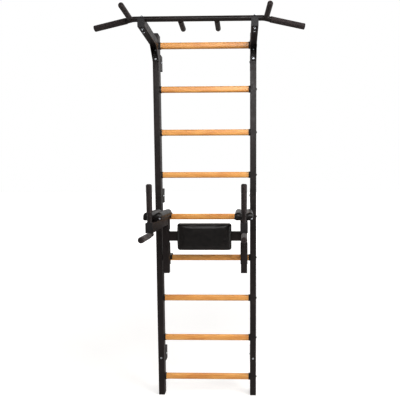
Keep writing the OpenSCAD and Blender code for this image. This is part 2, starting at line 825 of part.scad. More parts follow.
// A dip arm with the short weld block that carries the lower handle.
module right_dip_arm() {
    len = dip_front_y - dip_arm_front_y - plug_flange;
    color(coat) difference() {
        union() {
            translate([dip_x, dip_front_y, (dip_arm_z0 + dip_arm_z1) / 2])
                along_minus_y(len) tube_section(dip_tube, dip_arm_h, arm_t);
            translate([dip_x - saddle_w / 2, saddle_y0, dip_arm_z0 - saddle_h])
                cube([saddle_w, saddle_l, saddle_h + arm_t / 2]);
        }
        translate([dip_x, handle_rear_y + 20, handle_z]) along_minus_y(200)
            circle(d = handle_tube_dia + 0.1);
    }
}
module left_dip_arm() { mirror([1, 0, 0]) right_dip_arm(); }

// Bare tubes of the upright hand grips and of the lower handles.
module hand_grip_tubes() {
    color(coat) both_sides() {
        translate([dip_x, hand_grip_y, dip_arm_z1]) round_tube(handle_tube_dia, bar_t, 0, hand_grip_h - 6);
        translate([dip_x, handle_rear_y, handle_z]) rotate([90, 0, 0])
            round_tube(handle_tube_dia, bar_t, 0, handle_rear_y - dip_arm_front_y + handle_reach - 6);
    }
}

module hand_grip_sleeves() {
    color(foam) both_sides() translate([dip_x, hand_grip_y, dip_arm_z1])
        grip_sleeve(handle_dia, handle_tube_dia + fit, hand_grip_h - hand_sleeve_l, hand_grip_h);
}

module lower_handle_sleeves() {
    start = handle_rear_y - dip_arm_front_y + plug_flange;
    end = handle_rear_y - dip_arm_front_y + handle_reach;
    color(foam) both_sides() translate([dip_x, handle_rear_y, handle_z]) rotate([90, 0, 0])
        grip_sleeve(handle_dia, handle_tube_dia + fit, start, end);
}

// ---------- arm pads ----------

// Draws children at both dip arms without mirroring them.
module at_dip_arms() {
    for (x = [-dip_x, dip_x]) translate([x, 0, 0]) children();
}

// The screw through each pad bracket's lug, from the front.
module lug_screw_places() {
    at_dip_arms() translate([lug_x, pad_front_y - pad_plate_t, pad_base_z + lug_screw_rise])
        rotate([90, 0, 0]) children();
}

// The two screws up through each pad bracket's plate.
module plate_screw_places() {
    at_dip_arms() for (share = [0.35, 0.8])
        translate([0, pad_front_y + share * pad_plate_l, pad_base_z - pad_plate_t])
            rotate([180, 0, 0]) children();
}

module pad_plate_hole() {
    translate([0, 0, -pad_plate_t - 1]) cylinder(d = m6_d + 0.6, h = pad_plate_t + 2);
}

// A plate on two low legs under each pad, with an upturned lug at its front.
module pad_brackets() {
    leg_x = dip_tube / 2 - 6;
    y0 = pad_front_y;
    color(coat) difference() {
        at_dip_arms() {
            translate([-pad_plate_w / 2, y0, pad_base_z - pad_plate_t])
                cube([pad_plate_w, pad_plate_l, pad_plate_t]);
            for (s = [-1, 1]) translate([s * leg_x - 1.5, y0 + 60, dip_arm_z1])
                cube([3, pad_plate_l - 60, pad_leg_h]);
            translate([lug_x - lug_w / 2, y0 - pad_plate_t, pad_base_z - pad_plate_t])
                cube([lug_w, pad_plate_t, lug_h]);
        }
        lug_screw_places() pad_plate_hole();
        plate_screw_places() pad_plate_hole();
    }
}

module pad_board_shape(grow) {
    w = pad_w - 2 * board_inset + 2 * grow;
    l = pad_l - 2 * board_inset + 2 * grow;
    translate([0, (pad_front_y + pad_rear_y) / 2, pad_base_z]) linear_extrude(board_t + grow)
        rounded_rect(w, l, 8);
}

module pad_boards() {
    color(plywood) difference() {
        at_dip_arms() pad_board_shape(0);
        lug_screw_places() translate([0, 0, -pad_plate_t - board_inset - lug_screw_l - 2])
            cylinder(d = m6_d + 0.4, h = lug_screw_l + 5);
        plate_screw_places() translate([0, 0, -pad_plate_t - board_t + 2])
            cylinder(d = m6_d + 0.4, h = board_t + 1);
    }
}

// A pad with two long ridges and a valley between them for the forearm.
module arm_pad() {
    r = pad_ridge_r;
    difference() {
        translate([0, pad_rear_y, pad_base_z]) along_minus_y(pad_l) {
            translate([-pad_w / 2, 0]) square([pad_w, pad_h - r]);
            translate([-pad_ridge_x, 0]) square([2 * pad_ridge_x, pad_valley]);
            for (s = [-1, 1]) translate([s * pad_ridge_x, pad_h - r]) circle(r);
        }
        translate([0, 0, -0.01]) pad_board_shape(fit);
        translate([lug_x, pad_front_y + 20, pad_base_z + lug_screw_rise]) rotate([90, 0, 0])
            cylinder(d = m6_d + 1, h = 30);
    }
}
module left_arm_pad() { color(leather) translate([-dip_x, 0, 0]) arm_pad(); }
module right_arm_pad() { color(leather) translate([dip_x, 0, 0]) arm_pad(); }

// ---------- output ----------

left_upright_lower();
left_upright_upper();
right_upright_lower();
right_upright_upper();
upright_splices();
upright_top_caps();
floor_feet();
for (i = [1:rung_count]) rung(i);
rung_cups();
rung_bolts();
wall_bracket_lower_left();
wall_bracket_lower_right();
wall_bracket_middle_left();
wall_bracket_middle_right();
wall_bracket_upper_left();
wall_bracket_upper_right();
post_brackets();
bracket_bolts();
left_pull_up_arm();
right_pull_up_arm();
left_arm_mount();
right_arm_mount();
arm_end_plugs();
arm_bolts();
pull_up_bar();
bar_clamp_bolts();
bar_end_sleeves();
bar_end_caps();
outer_grip_tubes();
outer_grip_sleeves();
inner_grip_tubes();
inner_grip_sleeves();
left_dip_tube();
right_dip_tube();
dip_tube_plugs();
upper_hooks();
lower_hooks();
hook_liners();
dip_frame_bolts();
dip_cross_beam();
backrest_board();
backrest_cushion();
upholstery_screws();
left_dip_arm();
right_dip_arm();
hand_grip_tubes();
hand_grip_sleeves();
lower_handle_sleeves();
pad_brackets();
pad_boards();
left_arm_pad();
right_arm_pad();
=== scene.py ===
"""Looks of a wall ladder with a pull-up bar and a lift-off dip station.

Everything is in metres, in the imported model's own frame: +Z is up, +Y points into the wall and the
origin is on the floor at the wall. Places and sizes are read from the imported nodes. A class holds as
fields only what those nodes don't say, such as the radius of a bend or the depth of a weld.
"""

import json
import logging
import math
from collections.abc import Callable
from dataclasses import dataclass
from enum import Enum

import bmesh
import bpy
import numpy as np
from mathutils import Matrix, Vector
from mathutils.bvhtree import BVHTree

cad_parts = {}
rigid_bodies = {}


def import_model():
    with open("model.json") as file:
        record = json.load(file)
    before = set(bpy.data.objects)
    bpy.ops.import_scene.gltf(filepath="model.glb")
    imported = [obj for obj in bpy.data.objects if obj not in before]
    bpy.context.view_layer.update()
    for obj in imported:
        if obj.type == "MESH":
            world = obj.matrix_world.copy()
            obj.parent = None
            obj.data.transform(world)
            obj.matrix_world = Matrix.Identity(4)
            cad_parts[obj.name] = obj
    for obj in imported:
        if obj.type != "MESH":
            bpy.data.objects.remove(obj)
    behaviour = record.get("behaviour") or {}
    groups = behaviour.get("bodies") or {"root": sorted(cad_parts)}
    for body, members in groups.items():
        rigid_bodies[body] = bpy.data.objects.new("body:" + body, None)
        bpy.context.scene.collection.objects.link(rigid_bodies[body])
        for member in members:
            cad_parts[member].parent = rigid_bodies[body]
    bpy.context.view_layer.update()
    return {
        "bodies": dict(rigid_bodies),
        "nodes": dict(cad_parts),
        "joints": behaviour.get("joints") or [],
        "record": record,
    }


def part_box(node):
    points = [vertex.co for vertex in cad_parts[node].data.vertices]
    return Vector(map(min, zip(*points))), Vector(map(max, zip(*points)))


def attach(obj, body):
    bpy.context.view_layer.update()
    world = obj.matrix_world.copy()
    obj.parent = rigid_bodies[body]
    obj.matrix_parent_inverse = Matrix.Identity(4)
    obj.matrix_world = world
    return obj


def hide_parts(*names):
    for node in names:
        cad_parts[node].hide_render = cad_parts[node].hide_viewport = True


MM = 0.001
LOG = logging.getLogger("wall_ladder")


class Slot(Enum):
    """The record's material slots."""

    COAT = "black_powder_coat"
    BEECH = "beech"
    ZINC = "zinc_plated_steel"
    PLASTIC = "black_plastic"
    RUBBER = "grip_rubber"
    LEATHER = "black_upholstery"
    PLYWOOD = "plywood"


class Body(Enum):
    """The two bodies that move against each other."""

    LADDER = "ladder"
    DIP_STATION = "dip_station"


# ---------------------------------------------------------------- materials


def srgb(code: str) -> tuple[float, float, float, float]:
    """Turns an sRGB hex colour into linear red, green, blue and alpha.

    Args:
        code: The colour, such as "#dfa25a".

    Returns:
        The linear colour with an alpha of one.
    """
    parts = [int(code[i : i + 2], 16) / 255 for i in (1, 3, 5)]
    linear = [c / 12.92 if c <= 0.04045 else ((c + 0.055) / 1.055) ** 2.4 for c in parts]
    return (*linear, 1.0)


def add_node(
    tree: bpy.types.NodeTree,
    kind: str,
    sockets: dict[str | int, object] | None = None,
    stops: list[tuple[float, str]] | None = None,
    **settings: object,
) -> bpy.types.Node:
    """Adds a node with its settings, values and links.

    Args:
        tree: The node tree that gets the node.
        kind: The node's Blender type name.
        sockets: Values for inputs by name or index. An output socket is linked instead.
        stops: Position and hex colour of each stop, for a node that has a colour ramp.
        **settings: Properties of the node itself.

    Returns:
        The new node.
    """
    node = tree.nodes.new(kind)
    for name, value in settings.items():
        setattr(node, name, value)
    for name, value in (sockets or {}).items():
        if isinstance(value, bpy.types.NodeSocket):
            tree.links.new(value, node.inputs[name])
        else:
            node.inputs[name].default_value = value
    for i, (position, code) in enumerate(stops or []):
        elements = node.color_ramp.elements
        element = elements[i] if i < len(elements) else elements.new(position)
        element.position = position
        element.color = srgb(code)
    return node


@dataclass(frozen=True)
class Finish:
    """What every finish shares: a name and the slot it stands for."""

    name: str
    slot: Slot

    def build(self) -> bpy.types.Material:
        """Makes the material and lets the finish draw its nodes."""
        material = bpy.data.materials.new(self.name)
        material.use_nodes = True
        tree = material.node_tree
        tree.nodes.clear()
        surface = add_node(tree, "ShaderNodeBsdfPrincipled")
        add_node(tree, "ShaderNodeOutputMaterial", {"Surface": surface.outputs["BSDF"]})
        place = add_node(tree, "ShaderNodeTexCoord").outputs["Object"]
        self.draw(tree, surface, place)
        return material

    def draw(self, tree: bpy.types.NodeTree, surface: bpy.types.Node, place: bpy.types.NodeSocket) -> None:
        """Draws the finish's own nodes."""
        raise NotImplementedError

    def mottle(
        self,
        tree: bpy.types.NodeTree,
        surface: bpy.types.Node,
        place: bpy.types.NodeSocket,
        size_mm: float,
        detail: float,
        stops: list[tuple[float, str]],
        roughness: tuple[float, float],
    ) -> bpy.types.NodeSocket:
        """Drives the colour and the gloss by one even noise.

        Args:
            tree: The shader tree.
            surface: The finish's surface.
            place: The coordinates, in metres.
            size_mm: The size of a patch.
            detail: Octaves of finer noise on top.
            stops: The colours from the noise's low end to its high end.
            roughness: The lowest and the highest roughness.

        Returns:
            The noise factor.
        """
        noise = add_node(
            tree, "ShaderNodeTexNoise", {"Vector": place, "Scale": per(size_mm), "Detail": detail}
        )
        factor = noise.outputs["Fac"]
        colour = add_node(tree, "ShaderNodeValToRGB", {"Fac": factor}, stops)
        tree.links.new(colour.outputs["Color"], surface.inputs["Base Color"])
        low, high = roughness
        gloss = add_node(
            tree,
            "ShaderNodeMapRange",
            {"Value": factor, "From Min": 0.3, "From Max": 0.7, "To Min": low, "To Max": high},
        )
        tree.links.new(gloss.outputs["Result"], surface.inputs["Roughness"])
        return factor


def per(size_mm: float) -> float:
    """The scale of a pattern whose real repeat is size_mm."""
    return 1 / (size_mm * MM)


@dataclass(frozen=True)
class PowderCoat(Finish):
    """Polyester powder coat on steel, sprayed and baked.

    It flows into a fine pebble, so highlights are soft and slightly broken, and flat sides turn grey
    brown where they catch light at a low angle.
    """

    dark: str = "#1b1514"
    light: str = "#271f1e"
    rubbed: str = "#3d3331"
    pebble_mm: float = 1.6
    patch_mm: float = 160.0
    dust_mm: float = 22.0

    def draw(self, tree: bpy.types.NodeTree, surface: bpy.types.Node, place: bpy.types.NodeSocket) -> None:
        """Near-black with slow tone patches, a fine pebble and uneven gloss."""
        slow = add_node(
            tree, "ShaderNodeTexNoise", {"Vector": place, "Scale": per(self.patch_mm), "Detail": 2.0}
        )
        tone = add_node(
            tree,
            "ShaderNodeValToRGB",
            {"Fac": slow.outputs["Fac"]},
            [(0.35, self.dark), (0.65, self.light)],
        )
        dust = add_node(
            tree, "ShaderNodeTexNoise", {"Vector": place, "Scale": per(self.dust_mm), "Detail": 6.0}
        )
        dust_mask = add_node(
            tree,
            "ShaderNodeMapRange",
            {"Value": dust.outputs["Fac"], "From Min": 0.56, "From Max": 0.72, "To Min": 0.0, "To Max": 0.3},
        )
        colour = add_node(
            tree,
            "ShaderNodeMix",
            {0: dust_mask.outputs["Result"], 6: tone.outputs["Color"], 7: srgb(self.rubbed)},
            data_type="RGBA",
        )
        tree.links.new(colour.outputs[2], surface.inputs["Base Color"])
        gloss = add_node(
            tree,
            "ShaderNodeMapRange",
            {"Value": dust.outputs["Fac"], "From Min": 0.3, "From Max": 0.7, "To Min": 0.34, "To Max": 0.5},
        )
        tree.links.new(gloss.outputs["Result"], surface.inputs["Roughness"])
        surface.inputs["IOR"].default_value = 1.5
        surface.inputs["Specular IOR Level"].default_value = 0.4
        pebble = add_node(
            tree, "ShaderNodeTexNoise", {"Vector": place, "Scale": per(self.pebble_mm), "Detail": 2.0}
        )
        bump = add_node(
            tree, "ShaderNodeBump", {"Height": pebble.outputs["Fac"], "Distance": 0.12 * MM, "Strength": 0.35}
        )
        tree.links.new(bump.outputs["Normal"], surface.inputs["Normal"])


@dataclass(frozen=True)
class LacqueredBeech(Finish):
    """Steamed beech, planed and clear lacquered, with its grain along the rung.

    Honey colour with long faint growth lines, short dark ray flecks and a thin satin lacquer.
    """

    pale: str = "#ecb770"
    mid: str = "#dfa25a"
    deep: str = "#c88242"
    fleck: str = "#8c5324"
    line_mm: float = 3.2
    line_length_mm: float = 170.0
    tone_mm: float = 55.0
    tone_length_mm: float = 190.0
    fleck_mm: float = 1.1
    fleck_length_mm: float = 9.0

    def streaks(
        self, tree: bpy.types.NodeTree, place: bpy.types.NodeSocket, width_mm: float, length_mm: float
    ) -> bpy.types.NodeSocket:
        """Noise drawn out along the grain.

        Args:
            tree: The shader tree.
            place: The coordinates, in metres.
            width_mm: The size of a streak across the grain.
            length_mm: The length of a streak along the grain.

        Returns:
            The noise factor.
        """
        drawn = add_node(
            tree,
            "ShaderNodeVectorMath",
            {0: place, 1: (per(length_mm), per(width_mm), per(width_mm))},
            operation="MULTIPLY",
        )
        noise = add_node(
            tree,
            "ShaderNodeTexNoise",
            {"Vector": drawn.outputs["Vector"], "Scale": 1.0, "Detail": 3.0, "Distortion": 0.4},
        )
        return noise.outputs["Fac"]

    def draw(self, tree: bpy.types.NodeTree, surface: bpy.types.Node, place: bpy.types.NodeSocket) -> None:
        """Growth lines over slow tone changes, then ray flecks."""
        lines = self.streaks(tree, place, self.line_mm, self.line_length_mm)
        tones = self.streaks(tree, place, self.tone_mm, self.tone_length_mm)
        line_colour = add_node(
            tree, "ShaderNodeValToRGB", {"Fac": lines}, [(0.3, self.deep), (0.5, self.mid), (0.7, self.pale)]
        )
        tone_colour = add_node(
            tree,
            "ShaderNodeValToRGB",
            {"Fac": tones},
            [(0.32, self.deep), (0.5, self.mid), (0.66, self.pale)],
        )
        body = add_node(
            tree,
            "ShaderNodeMix",
            {0: 0.5, 6: line_colour.outputs["Color"], 7: tone_colour.outputs["Color"]},
            data_type="RGBA",
        )
        # real ray flecks are finer; these are drawn as coarse as they need to be to show
        rays = self.streaks(tree, place, self.fleck_mm, self.fleck_length_mm)
        ray_mask = add_node(
            tree,
            "ShaderNodeMapRange",
            {"Value": rays, "From Min": 0.62, "From Max": 0.7, "To Min": 0.0, "To Max": 0.45},
        )
        flecked = add_node(
            tree,
            "ShaderNodeMix",
            {0: ray_mask.outputs["Result"], 6: body.outputs[2], 7: srgb(self.fleck)},
            data_type="RGBA",
        )
        tree.links.new(flecked.outputs[2], surface.inputs["Base Color"])
        gloss = add_node(
            tree,
            "ShaderNodeMapRange",
            {"Value": lines, "From Min": 0.3, "From Max": 0.7, "To Min": 0.32, "To Max": 0.46},
        )
        tree.links.new(gloss.outputs["Result"], surface.inputs["Roughness"])
        surface.inputs["IOR"].default_value = 1.5
        surface.inputs["Coat Weight"].default_value = 0.25
        surface.inputs["Coat Roughness"].default_value = 0.3
        bump = add_node(tree, "ShaderNodeBump", {"Height": lines, "Distance": 0.1 * MM, "Strength": 0.25})
        tree.links.new(bump.outputs["Normal"], surface.inputs["Normal"])


@dataclass(frozen=True)
class BrightZinc(Finish):
    """Bright zinc plate on steel fasteners: a cool metal with fine barrel scuffs."""

    bright: str = "#d6d9dd"
    dull: str = "#a9adb3"
    scuff_mm: float = 1.5

    def draw(self, tree: bpy.types.NodeTree, surface: bpy.types.Node, place: bpy.types.NodeSocket) -> None:
        """Metal with scuffs in its colour and gloss."""
        stops = [(0.35, self.dull), (0.6, self.bright)]
        scuffs = self.mottle(tree, surface, place, self.scuff_mm, 5.0, stops, (0.22, 0.4))
        surface.inputs["Metallic"].default_value = 1.0
        bump = add_node(tree, "ShaderNodeBump", {"Height": scuffs, "Distance": 0.03 * MM, "Strength": 0.2})
        tree.links.new(bump.outputs["Normal"], surface.inputs["Normal"])


@dataclass(frozen=True)
class MouldedPlastic(Finish):
    """Black polyethylene, injection moulded against a spark-eroded tool: matt with a fine even grain."""

    dark: str = "#131112"
    light: str = "#201c1d"
    grain_mm: float = 0.9

    def draw(self, tree: bpy.types.NodeTree, surface: bpy.types.Node, place: bpy.types.NodeSocket) -> None:
        """Matt black with an eroded grain."""
        stops = [(0.35, self.dark), (0.65, self.light)]
        grain = self.mottle(tree, surface, place, self.grain_mm, 2.0, stops, (0.44, 0.6))
        surface.inputs["IOR"].default_value = 1.51
        bump = add_node(tree, "ShaderNodeBump", {"Height": grain, "Distance": 0.06 * MM, "Strength": 0.4})
        tree.links.new(bump.outputs["Normal"], surface.inputs["Normal"])


@dataclass(frozen=True)
class FoamRubber(Finish):
    """Dense foam rubber tube with a skin: dull, with small pores and a mottled bloom."""

    dark: str = "#1e1818"
    light: str = "#3a302f"
    pore_mm: float = 1.4
    bloom_mm: float = 8.0

    def draw(self, tree: bpy.types.NodeTree, surface: bpy.types.Node, place: bpy.types.NodeSocket) -> None:
        """Mottled dark grey over pores, with a soft sheen at low angles."""
        stops = [(0.36, self.dark), (0.64, self.light)]
        self.mottle(tree, surface, place, self.bloom_mm, 4.0, stops, (0.6, 0.8))
        surface.inputs["IOR"].default_value = 1.52
        surface.inputs["Specular IOR Level"].default_value = 0.3
        surface.inputs["Sheen Weight"].default_value = 0.15
        surface.inputs["Sheen Roughness"].default_value = 0.5
        pores = add_node(tree, "ShaderNodeTexVoronoi", {"Vector": place, "Scale": per(self.pore_mm)})
        bump = add_node(
            tree,
            "ShaderNodeBump",
            {"Height": pores.outputs["Distance"], "Distance": 0.25 * MM, "Strength": 0.45},
        )
        tree.links.new(bump.outputs["Normal"], surface.inputs["Normal"])


@dataclass(frozen=True)
class ArtificialLeather(Finish):
    """PVC-coated cloth embossed with a leather grain: semi-gloss black that shows its crowns in the light."""

    dark: str = "#0e0b0a"
    light: str = "#1a1513"
    grain_mm: float = 1.7
    crease_mm: float = 30.0

    def draw(self, tree: bpy.types.NodeTree, surface: bpy.types.Node, place: bpy.types.NodeSocket) -> None:
        """Embossed cells over soft creases."""
        stops = [(0.35, self.dark), (0.65, self.light)]
        creases = self.mottle(tree, surface, place, self.crease_mm, 5.0, stops, (0.32, 0.44))
        surface.inputs["IOR"].default_value = 1.53
        surface.inputs["Specular IOR Level"].default_value = 0.4
        soft = add_node(tree, "ShaderNodeBump", {"Height": creases, "Distance": 1.2 * MM, "Strength": 0.12})
        cells = add_node(
            tree,
            "ShaderNodeTexVoronoi",
            {"Vector": place, "Scale": per(self.grain_mm)},
            feature="SMOOTH_F1",
        )
        grain = add_node(
            tree,
            "ShaderNodeBump",
            {
                "Height": cells.outputs["Distance"],
                "Distance": 0.18 * MM,
                "Strength": 0.3,
                "Normal": soft.outputs["Normal"],
            },
        )
        tree.links.new(grain.outputs["Normal"], surface.inputs["Normal"])


@dataclass(frozen=True)
class BirchPlywood(Finish):
    """Sanded birch plywood: pale veneers whose edge shows light and dark plies in turn."""

    face: str = "#d9b482"
    figure: str = "#c99d66"
    glue: str = "#9a6c3b"
    ply_mm: float = 2.7
    figure_mm: float = 14.0
    stacked_along: tuple[float, float, float] = (0.0, 1.0, 0.0)

    def draw(self, tree: bpy.types.NodeTree, surface: bpy.types.Node, place: bpy.types.NodeSocket) -> None:
        """Plies stacked along one direction, with a faint figure."""
        height = add_node(
            tree, "ShaderNodeVectorMath", {0: place, 1: self.stacked_along}, operation="DOT_PRODUCT"
        )
        turns = add_node(
            tree,
            "ShaderNodeMath",
            {0: height.outputs["Value"], 1: 2 * math.pi * per(self.ply_mm)},
            operation="MULTIPLY",
        )
        plies = add_node(tree, "ShaderNodeMath", {0: turns.outputs["Value"]}, operation="SINE")
        stripe = add_node(
            tree,
            "ShaderNodeMapRange",
            {"Value": plies.outputs["Value"], "From Min": 0.1, "From Max": 0.5, "To Min": 0.0, "To Max": 0.8},
        )
        figure = add_node(
            tree, "ShaderNodeTexNoise", {"Vector": place, "Scale": per(self.figure_mm), "Detail": 4.0}
        )
        face = add_node(
            tree, "ShaderNodeValToRGB", {"Fac": figure.outputs["Fac"]}, [(0.3, self.figure), (0.7, self.face)]
        )
        mixed = add_node(
            tree,
            "ShaderNodeMix",
            {0: stripe.outputs["Result"], 6: face.outputs["Color"], 7: srgb(self.glue)},
            data_type="RGBA",
        )
        tree.links.new(mixed.outputs[2], surface.inputs["Base Color"])
        gloss = add_node(
            tree,
            "ShaderNodeMapRange",
            {"Value": figure.outputs["Fac"], "From Min": 0.3, "From Max": 0.7, "To Min": 0.55, "To Max": 0.7},
        )
        tree.links.new(gloss.outputs["Result"], surface.inputs["Roughness"])
        bump = add_node(
            tree, "ShaderNodeBump", {"Height": figure.outputs["Fac"], "Distance": 0.05 * MM, "Strength": 0.2}
        )
        tree.links.new(bump.outputs["Normal"], surface.inputs["Normal"])


FINISHES: list[Finish] = [
    PowderCoat("black_powder_coat_on_steel", Slot.COAT),
    LacqueredBeech("lacquered_beech", Slot.BEECH),
    BrightZinc("bright_zinc_plate", Slot.ZINC),
    MouldedPlastic("moulded_black_polyethylene", Slot.PLASTIC),
    FoamRubber("foam_rubber", Slot.RUBBER),
    ArtificialLeather("black_artificial_leather", Slot.LEATHER),
    BirchPlywood("birch_plywood", Slot.PLYWOOD),
]


class Finishes:
    """The built materials, one for each slot."""

    def __init__(self) -> None:
        """Builds every finish once."""
        self.by_slot = {finish.slot: finish.build() for finish in FINISHES}

    def dress(self, piece: bpy.types.Object, slot: Slot) -> None:
        """Gives a piece the one finish built for its slot."""
        piece.data.materials.clear()
        piece.data.materials.append(self.by_slot[slot])
        for polygon in piece.data.polygons:
            polygon.material_index = 0


# ---------------------------------------------------------------- reading the frame


@dataclass
class Solid:
    """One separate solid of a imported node."""

    points: np.ndarray

    @property
    def low(self) -> Vector:
        """Its lowest corner."""
        return Vector(self.points.min(0))

    @property
    def high(self) -> Vector:
        """Its highest corner."""
        return Vector(self.points.max(0))

    @property
    def centre(self) -> Vector:
        """The middle of its box."""
        return (self.low + self.high) / 2

    @property
    def size(self) -> Vector:
        """The sides of its box."""
        return self.high - self.low


@dataclass
class Rod:
    """A straight round bar: its axis from start to end, and its radius."""

    start: Vector
    end: Vector
    radius: float

    @property
    def along(self) -> Vector:
        """The unit vector from start to end."""
        return (self.end - self.start).normalized()

    @property
    def length(self) -> float:
        """The distance from start to end."""
        return (self.end - self.start).length

    def frame(self) -> Matrix:
        """A matrix that takes +Z to the rod's axis and the origin to its start."""
        turn = Vector((0, 0, 1)).rotation_difference(self.along).to_matrix().to_4x4()
        return Matrix.Translation(self.start) @ turn

    def starting_near(self, place: Vector) -> "Rod":
        """The same rod, turned end for end if its end is the nearer one to a place."""
        if (self.start - place).length <= (self.end - place).length:
            return self
        return Rod(self.end, self.start, self.radius)


def solids_of(node: bpy.types.Object) -> list[Solid]:
    """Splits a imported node's mesh into its separate solids.

    Points are taken in the mesh's own order, so that every run gives the same sums and axes.

    Args:
        node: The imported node's object.

    Returns:
        The solids, from low X to high X.
    """
    mesh = bmesh.new()
    mesh.from_mesh(node.data)
    bmesh.ops.remove_doubles(mesh, verts=mesh.verts, dist=0.01 * MM)
    seen = set()
    found = []
    for first in mesh.verts:
        if first in seen:
            continue
        seen.add(first)
        group = [first]
        for vertex in group:
            for edge in vertex.link_edges:
                other = edge.other_vert(vertex)
                if other not in seen:
                    seen.add(other)
                    group.append(other)
        found.append(Solid(np.array([v.co[:] for v in group])))
    mesh.free()
    return sorted(found, key=lambda solid: tuple(round(c, 4) for c in solid.centre))


def rod_of(solid: Solid) -> Rod:
    """Finds the axis and the outer radius of a round solid.

    Args:
        solid: A solid that is round about one axis, with square ends.

    Returns:
        The rod through it.
    """
    middle = solid.points.mean(0)
    away = solid.points - middle
    axis = np.linalg.eigh(away.T @ away)[1][:, -1]
    along = away @ axis
    across = away - np.outer(along, axis)
    radius = float(np.linalg.norm(across, axis=1).max())
    start, end = (Vector(middle + axis * t) for t in (along.min(), along.max()))
    return Rod(start, end, radius)


# ---------------------------------------------------------------- meshes


def new_piece(name: str, mesh: bmesh.types.BMesh, smooth_deg: float = 35.0) -> bpy.types.Object:
    """Makes an object at the origin from a bmesh, smooth but for its sharp edges.

    Args:
        name: The piece's name.
        mesh: Its shape, in place. It is freed.
        smooth_deg: Edges that turn further than this stay sharp.

    Returns:
        The new object.
    """
    data = bpy.data.meshes.new(name)
    mesh.normal_update()
    mesh.to_mesh(data)
    mesh.free()
    for polygon in data.polygons:
        polygon.use_smooth = True
    data.set_sharp_from_angle(angle=math.radians(smooth_deg))
    piece = bpy.data.objects.new(name, data)
    bpy.context.scene.collection.objects.link(piece)
    return piece


def loft(mesh: bmesh.types.BMesh, rings: list[list[Vector]], close_ends: bool = True) -> None:
    """Joins rings of points into a skin.

    Args:
        mesh: The bmesh that gets the skin.
        rings: Rings with the same number of points, in order.
        close_ends: Whether the first and the last ring get a face.
    """
    loops = [[mesh.verts.new(point) for point in ring] for ring in rings]
    count = len(rings[0])
    for near, far in zip(loops, loops[1:]):
        for i in range(count):
            j = (i + 1) % count
            mesh.faces.new((near[i], near[j], far[j], far[i]))
    if close_ends:
        mesh.faces.new(list(reversed(loops[0])))
        mesh.faces.new(loops[-1])


def turned(
    mesh: bmesh.types.BMesh, frame: Matrix, outline: list[tuple[float, float]], sides: int = 40
) -> None:
    """Adds a shape turned about the frame's Z axis.

    Args:
        mesh: The bmesh that gets the shape.
        frame: Where the shape's own axes lie.
        outline: Pairs of radius and height from one end to the other.
        sides: Points round the axis.
    """
    angles = [2 * math.pi * i / sides for i in range(sides)]
    rings = [
        [frame @ Vector((radius * math.cos(a), radius * math.sin(a), height)) for a in angles]
        for radius, height in outline
    ]
    loft(mesh, rings)


def rounded_section(width: float, height: float, ease: float, steps: int = 6) -> list[tuple[float, float]]:
    """A rectangle with rounded corners, centred, as points in order.

    Args:
        width: Its first side.
        height: Its second side.
        ease: The radius of its corners.
        steps: Points on each corner.

    Returns:
        The points, anticlockwise.
    """
    points = []
    for turn, (sx, sy) in enumerate(((1, 1), (-1, 1), (-1, -1), (1, -1))):
        for i in range(steps + 1):
            a = math.pi / 2 * (turn + i / steps)
            points.append(
                (sx * (width / 2 - ease) + ease * math.cos(a), sy * (height / 2 - ease) + ease * math.sin(a))
            )
    return points


def merged_copy(node: bpy.types.Object) -> bmesh.types.BMesh:
    """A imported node's mesh with its loose triangles joined into whole faces."""
    mesh = bmesh.new()
    mesh.from_mesh(node.data)
    bmesh.ops.remove_doubles(mesh, verts=mesh.verts, dist=0.01 * MM)
    bmesh.ops.dissolve_limit(mesh, angle_limit=math.radians(0.8), verts=mesh.verts, edges=mesh.edges)
    return mesh


class Workshop:
    """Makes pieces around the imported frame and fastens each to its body."""

    def __init__(self, frame: dict, finishes: Finishes) -> None:
        """Keeps the loaded frame and the finishes."""
        self.nodes: dict[str, bpy.types.Object] = frame["nodes"]
        self.finishes = finishes

    def fit(self, piece: bpy.types.Object, slot: Slot, body: Body, *stands_for: str) -> bpy.types.Object:
        """Dresses a piece, fastens it to its body and reports it.

        Args:
            piece: The finished piece.
            slot: Its finish.
            body: The body that it rides on.
            *stands_for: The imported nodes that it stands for.

        Returns:
            The same piece.
        """
        self.finishes.dress(piece, slot)
        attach(piece, body.value)
        if stands_for:
            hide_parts(*stands_for)
        LOG.info("%s: %d faces on %s", piece.name, len(piece.data.polygons), body.value)
        return piece

    def ease(self, node: str, slot: Slot, body: Body, ease_mm: float) -> bpy.types.Object:
        """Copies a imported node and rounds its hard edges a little.

        Args:
            node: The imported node.
            slot: Its finish.
            body: The body that it rides on.
            ease_mm: The width of the rounded edges.

        Returns:
            The new piece.
        """
        piece = new_piece(f"{node}_eased", merged_copy(self.nodes[node]))
        rounding = piece.modifiers.new("edges", "BEVEL")
        rounding.width = ease_mm * MM
        rounding.segments = 2
        rounding.limit_method = "ANGLE"
        rounding.angle_limit = math.radians(32)
        rounding.harden_normals = True
        return self.fit(piece, slot, body, node)


# ---------------------------------------------------------------- geometry nodes


def new_tree(
    name: str, inputs: list[tuple[str, str]]
) -> tuple[bpy.types.NodeTree, bpy.types.Node, dict[str, str]]:
    """Starts a Geometry Nodes tree.

    Args:
        name: The tree's name.
        inputs: Name and socket type of each input after the geometry.

    Returns:
        The tree, its group input node and the identifier of each named input.
    """
    tree = bpy.data.node_groups.new(name, "GeometryNodeTree")
    tree.interface.new_socket("Geometry", in_out="INPUT", socket_type="NodeSocketGeometry")
    identifiers = {}
    for label, kind in inputs:
        socket = tree.interface.new_socket(label, in_out="INPUT", socket_type=kind)
        identifiers[label] = socket.identifier
    tree.interface.new_socket("Geometry", in_out="OUTPUT", socket_type="NodeSocketGeometry")
    return tree, add_node(tree, "NodeGroupInput"), identifiers


